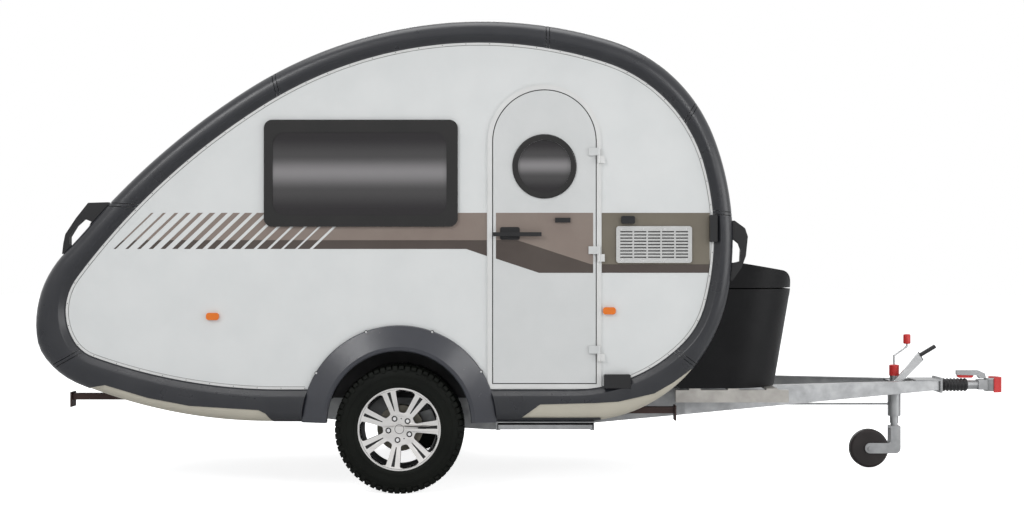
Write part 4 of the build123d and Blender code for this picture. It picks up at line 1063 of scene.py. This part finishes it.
def trim_section(wide):
    """Closed section of the trim: distance out from the wall's outline, and reach."""
    wall = abs(WALL_Y)
    face = wall + CREST_PROUD
    crest = LIP_WIDE + CREST_PROUD - LIP_PROUD
    roll = min(TRIM_ROLL, wide - crest - CREST_ROUND)
    points = [
        (0.0, wall - TRIM_SUNK),
        (0.0, wall + LIP_PROUD),
        (LIP_WIDE, wall + LIP_PROUD),
        (crest - CREST_ROUND, face - CREST_ROUND),
        (crest - CREST_ROUND / 4, face - CREST_ROUND / 3),
        (crest + CREST_ROUND, face),
    ]
    for step in range(1, ROLL_STEPS + 1):
        turn = math.pi / 2 * step / ROLL_STEPS
        points.append((wide - roll + roll * math.sin(turn), face - roll + roll * math.cos(turn)))
    inner = min(SHELL_OUT, wide - SHELL_EDGE)
    points += [(wide, wall - TRIM_WRAP), (inner, wall - TRIM_WRAP), (inner, wall - TRIM_SUNK)]
    return points


def trim_form(sign, sink=0.0):
    """Closed trim all round one wall, sunk by a little where it is the body of an insert.

    It grows from the wall's outline, square to it: the way out is from a heel on a line just inside.
    """
    maker = bmesh.new()
    outer = arc_line(TRIM_START_X, SILL_Z, TRIM_ARCS, spacing=TRIM_SPACING)
    rows = []
    for (x, z), (heel_x, heel_z) in list(zip(wall_line(0.0), wall_line(TRIM_SPACING)))[:-1]:
        way = ((x - heel_x) / TRIM_SPACING, (z - heel_z) / TRIM_SPACING)
        section = trim_section(reach_to(outer, (x, z), way) - sink / 2)
        points = [(x + out * way[0], sign * (reach - sink), z + out * way[1]) for out, reach in section]
        rows.append([maker.verts.new(point) for point in points])
    join_rows(maker, rows, ring=True)
    return maker


def carve(body, tool, operation):
    """The mesh that is left of a body after a tool; both are used up."""
    first = made_object("carved", body)
    second = made_object("tool", tool)
    change = first.modifiers.new("carve", "BOOLEAN")
    change.object = second
    change.operation = operation
    change.solver = "EXACT"
    change.use_self = True
    graph = bpy.context.evaluated_depsgraph_get()
    mesh = bpy.data.meshes.new_from_object(first.evaluated_get(graph))
    result = bmesh.new()
    result.from_mesh(mesh)
    for used in (first, second):
        bpy.data.objects.remove(used)
    bpy.data.meshes.remove(mesh)
    return result


def seam_grooves(start_x, start_z, end_x, end_z):
    """Outlines of the two grooves beside a seam's strip, which run past its ends."""
    run = math.hypot(end_x - start_x, end_z - start_z)
    ahead_x, ahead_z = (end_x - start_x) / run, (end_z - start_z) / run
    middle_x, middle_z = (start_x + end_x) / 2, (start_z + end_z) / 2
    half = run / 2 + SEAM_PAST
    grooves = []
    for shift in (-(SEAM_STRIP + SEAM_WIDE) / 2, (SEAM_STRIP + SEAM_WIDE) / 2):
        corners = level_box(-half, half, shift - SEAM_WIDE / 2, shift + SEAM_WIDE / 2)
        grooves.append(
            [
                (middle_x + way * ahead_x - off * ahead_z, middle_z + way * ahead_z + off * ahead_x)
                for way, off in corners
            ]
        )
    return grooves


def trim_cuts(sign):
    """What is cut out of the trim: the arch, the seams, and the fittings on the door side."""
    maker = bmesh.new()
    wall = abs(WALL_Y)
    far_out = sign * (wall + CUT_OUT)
    turns = [math.pi * step / ARCH_CUT_STEPS for step in range(ARCH_CUT_STEPS + 1)]
    arch = [(ARCH_X + ARCH_CUT_R * math.cos(turn), ARCH_Z + ARCH_CUT_R * math.sin(turn)) for turn in turns]
    arch += [(ARCH_X - ARCH_CUT_R, ARCH_CUT_FOOT), (ARCH_X + ARCH_CUT_R, ARCH_CUT_FOOT)]
    side_prism(maker, arch, far_out, sign * (wall - CUT_IN))
    for seam in TRIM_SEAMS:
        for groove in seam_grooves(*seam):
            side_prism(maker, groove, far_out, sign * (wall - SEAM_IN))
    if sign < 0:
        for x, z, wide, tall in FITTING_CUTS:
            outline = level_box(x - wide / 2, x + wide / 2, z - tall / 2, z + tall / 2)
            side_prism(maker, outline, far_out, sign * (wall + TRIM_SUNK))
    return maker


def insert_blanks(sign):
    """Prisms over the beige inserts of one sill."""
    maker = bmesh.new()
    for outline in (REAR_INSERT, FRONT_INSERT):
        side_prism(maker, outline, sign * (abs(WALL_Y) + CUT_OUT), sign * (abs(WALL_Y) - TRIM_WRAP))
    return maker


def add_trims():
    """The trims with their seams, and the beige inserts in their sills."""
    for side, sign in SIDES.items():
        trim = carve(trim_form(sign), trim_cuts(sign), "DIFFERENCE")
        trim = carve(trim, insert_blanks(sign), "DIFFERENCE")
        piece = keep_mesh("trim_" + side, trim, "root", "trim_slate", TRIM_SOFT)
        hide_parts("arch_trim_" + side)
        inserts = carve(trim_form(sign, INSERT_INSET), insert_blanks(sign), "INTERSECT")
        keep_mesh("sill_inserts_" + side, inserts, "root", "insert_beige", TRIM_SOFT)


# Vent, jockey wheel, drawbar and screws
def add_vent():
    """Refrigerator vent: a plate with slots in rows and columns over a back painted with shade where the
    slots show it.
    """
    maker = bmesh.new()
    wide, tall = VENT_SIZE
    corners = level_box(VENT_X - wide / 2, VENT_X + wide / 2, VENT_Z - tall / 2, VENT_Z + tall / 2)
    pitch = (VENT_GRILLE_WIDE + VENT_DIVIDER) / VENT_COLUMNS
    slot_half = (pitch - VENT_DIVIDER) / 2
    slots = []
    for column in range(VENT_COLUMNS):
        x = VENT_X + (column - (VENT_COLUMNS - 1) / 2) * pitch
        for row in range(VENT_ROWS):
            z = VENT_Z + (row - (VENT_ROWS - 1) / 2) * VENT_PITCH
            slots.append(level_box(x - slot_half, x + slot_half, z - VENT_SLOT / 2, z + VENT_SLOT / 2))
    outline = rounded(corners, [VENT_ROUND] * 4)
    add_plate(maker, outline, slots, VENT_Y, VENT_Y + VENT_FACE)
    side_prism(maker, outline, VENT_Y + VENT_FACE, WALL_Y)
    piece = keep_mesh("vent_grille", maker, "root", "vent_white", SOFT)
    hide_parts("fridge_vent")


def tube_along(maker, path, radius, sides=16):
    """Round bar along a line of points."""
    places = [Vector(point) for point in path]
    turns = [math.tau * side / sides for side in range(sides)]
    rows = []
    for index, place in enumerate(places):
        before = places[max(index - 1, 0)]
        after = places[min(index + 1, len(places) - 1)]
        along = (after - before).normalized()
        across = along.cross(Vector((0, 1, 0))).normalized()
        up = along.cross(across)
        ring = [place + radius * (math.cos(turn) * across + math.sin(turn) * up) for turn in turns]
        rows.append([maker.verts.new(point) for point in ring])
    join_rows(maker, rows)


def upright_turned(maker, x, profile, steps=40, ring=False):
    """Solid of revolution about an upright line in the middle plane; the profile holds (radius, z)."""
    rows = []
    for step in range(steps):
        turn = math.tau * step / steps
        points = [(x + radius * math.cos(turn), radius * math.sin(turn), z) for radius, z in profile]
        rows.append([maker.verts.new(point) for point in points])
    for near, far in zip(rows, rows[1:] + rows[:1]):
        for index in range(len(profile) - (0 if ring else 1)):
            after = (index + 1) % len(profile)
            maker.faces.new((near[index], near[after], far[after], far[index]))
    if not ring:
        maker.faces.new([row[0] for row in rows])
        maker.faces.new([row[-1] for row in rows])


def add_jockey_parts():
    """Crank with its cap ring and knob, and the fork with its level arms."""
    crank = bmesh.new()
    upright_turned(crank, JOCKEY_X, CAP_RING, ring=True)
    tube_along(crank, [(x, 0, z) for x, z in CRANK], CRANK_R)
    upright_turned(crank, CRANK[-1][0], KNOB)
    piece = keep_mesh("crank", crank, "jockey_swivel", "crank_finish", SOFT)
    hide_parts("jockey_crank")
    fork = bmesh.new()
    near, far = FORK_REACH
    arm = rounded(FORK, FORK_ROUND)
    for sign in SIDES.values():
        side_prism(fork, arm, sign * far, sign * near)
    side_prism(fork, level_box(FORK[3][0], FORK[2][0], CROWN_Z - CROWN_THICK, CROWN_Z), -near, near)
    upright_turned(fork, JOCKEY_X, STEM)
    side_prism(fork, round_outline(*JOCKEY_AXLE, AXLE_R, 20), -far - AXLE_PAST, far + AXLE_PAST)
    side_prism(fork, round_outline(*JOCKEY_AXLE, NUT_R, 6), -far - NUT_PAST, -far)
    piece = keep_mesh("fork", fork, "jockey_swivel", "galvanised", SOFT)
    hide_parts("jockey_fork")


def add_drawbar_parts():
    """Brake lever with its round grip, and the grip under the coupling's handle."""
    lever = bmesh.new()
    side_prism(lever, LEVER, -LEVER_REACH[1], -LEVER_REACH[0])
    middle_y = -(LEVER_REACH[0] + LEVER_REACH[1]) / 2
    ahead, up = math.cos(GRIP_SLOPE), math.sin(GRIP_SLOPE)
    path = [(GRIP_START[0] + run * ahead, middle_y, GRIP_START[1] + run * up) for run in GRIP_STOPS]
    tube_along(lever, path, GRIP_R)
    piece = keep_mesh("brake_lever", lever, "root", "lever_finish", SOFT)
    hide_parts("handbrake_lever")
    grip = bmesh.new()
    side_prism(grip, COUPLING_GRIP, -COUPLING_GRIP_HALF, COUPLING_GRIP_HALF)
    keep_mesh("coupling_grip", grip, "root", "red_plastic")


def add_body_screws():
    """Screws in their seats on the flares' edges, and in the refrigerator vent."""
    screws = bmesh.new()
    seats = bmesh.new()
    for sign in SIDES.values():
        wall_y = sign * abs(WALL_Y)
        for turn in FLARE_SCREW_TURNS:
            x = ARCH_X + FLARE_SCREW_R * math.sin(math.radians(turn))
            z = ARCH_Z + FLARE_SCREW_R * math.cos(math.radians(turn))
            side_prism(seats, round_outline(x, z, SEAT_R, 20), wall_y + sign * SEAT_PROUD, wall_y)
            side_prism(screws, round_outline(x, z, SCREW_R, 12), wall_y + sign * SCREW_PROUD, wall_y)
    for place in VENT_SCREWS:
        head = round_outline(*place, VENT_SCREW_R, 10)
        side_prism(screws, head, VENT_Y - VENT_SCREW_PROUD, VENT_Y + VENT_SCREW_SUNK)
    keep_mesh("body_screws", screws, "root", "bright_steel", SOFT)
    keep_mesh("screw_seats", seats, "root", "black_plastic", SOFT)


# Stage: camera, floor, world and lamps
def add_camera():
    """Camera at the photograph's viewing angle."""
    data = bpy.data.cameras.new("camera")
    data.lens = LENS_MM
    data.shift_y = HORIZON_BELOW_MIDDLE / IMAGE_WIDTH
    data.clip_end = 200
    camera = bpy.data.objects.new("camera", data)
    camera.location = EYE
    camera.rotation_euler = (math.radians(90), 0, 0)
    bpy.context.scene.collection.objects.link(camera)
    bpy.context.scene.camera = camera


def add_floor():
    """Pale floor that keeps a little of the trailer's shadow."""
    mesh = bpy.data.meshes.new("floor")
    corners = level_box(-FLOOR_HALF, FLOOR_HALF, -FLOOR_HALF, FLOOR_HALF)
    mesh.from_pydata([(x, y, 0) for x, y in corners], [], [(0, 1, 2, 3)])
    floor = bpy.data.objects.new("floor", mesh)
    bpy.context.scene.collection.objects.link(floor)
    made, tree, shader = start_material("floor")
    set_inputs(shader, Base_Color=(0.80, 0.80, 0.80, 1), Roughness=0.9, Specular_IOR_Level=0.0)
    set_inputs(shader, Emission_Color=(1, 1, 1, 1))
    path = place_node(tree, "ShaderNodeLightPath")
    glow = work_out(tree, "MULTIPLY", path.outputs["Is Camera Ray"], FLOOR_GLOW)
    tree.links.new(glow, shader.inputs["Emission Strength"])
    mesh.materials.append(made)


def add_world():
    """White to the eye and in reflections, softer as a light."""
    world = bpy.data.worlds.new("studio")
    world.use_nodes = True
    bpy.context.scene.world = world
    tree = world.node_tree
    lit = tree.nodes["Background"]
    set_inputs(lit, Color=(0.96, 0.98, 1, 1), Strength=WORLD_LIGHT)
    seen = place_node(tree, "ShaderNodeBackground", Color=(1, 1, 1, 1), Strength=1.0)
    path = place_node(tree, "ShaderNodeLightPath")
    direct = work_out(tree, "MAXIMUM", path.outputs["Is Camera Ray"], path.outputs["Is Transmission Ray"])
    mask = work_out(tree, "MAXIMUM", direct, path.outputs["Is Glossy Ray"])
    mix = place_node(tree, "ShaderNodeMixShader")
    tree.links.new(mask, mix.inputs["Fac"])
    tree.links.new(lit.outputs["Background"], mix.inputs[1])
    tree.links.new(seen.outputs["Background"], mix.inputs[2])
    tree.links.new(mix.outputs["Shader"], tree.nodes["World Output"].inputs["Surface"])


# Soft boxes: place, aim, size, power in watts
LAMPS = {
    "key": ((-4.6, -6.4, 5.2), (-0.8, 0, 1.2), (2.6, 2.6), 165),
    "fill": ((3.4, -7.2, 3.7), (0.3, 0, 1.0), (1.2, 1.2), 65),
    "right": ((6.0, -3.4, 1.8), (0.5, -0.5, 1.2), (4.0, 3.4), 110),
    "top": ((-0.3, -0.6, 6.5), (-0.3, 0, 0.0), (6.0, 3.0), 170),
    "back": ((0.0, 7.0, 4.5), (0.0, 0, 1.0), (5.0, 3.0), 160),
}


def add_lamps():
    """Plain soft studio light."""
    for name, (place, aim, size, power) in LAMPS.items():
        data = bpy.data.lights.new(name, "AREA")
        data.shape = "RECTANGLE"
        data.size, data.size_y = size
        data.energy = power
        lamp = bpy.data.objects.new(name, data)
        lamp.location = place
        lamp.rotation_euler = (Vector(aim) - Vector(place)).to_track_quat("-Z", "Y").to_euler()
        bpy.context.scene.collection.objects.link(lamp)


add_camera()
add_floor()
add_world()
add_lamps()
finish_nodes()
add_stripes()
add_bead()
add_door_fittings()
for wheel_side, wheel_sign in SIDES.items():
    add_tyre(wheel_side, wheel_sign)
    add_rim(wheel_side, wheel_sign)
    add_wheel_fixings(wheel_side, wheel_sign)
add_trims()
add_vent()
add_jockey_parts()
add_drawbar_parts()
add_body_screws()

bpy.context.scene.view_settings.view_transform = "Standard"
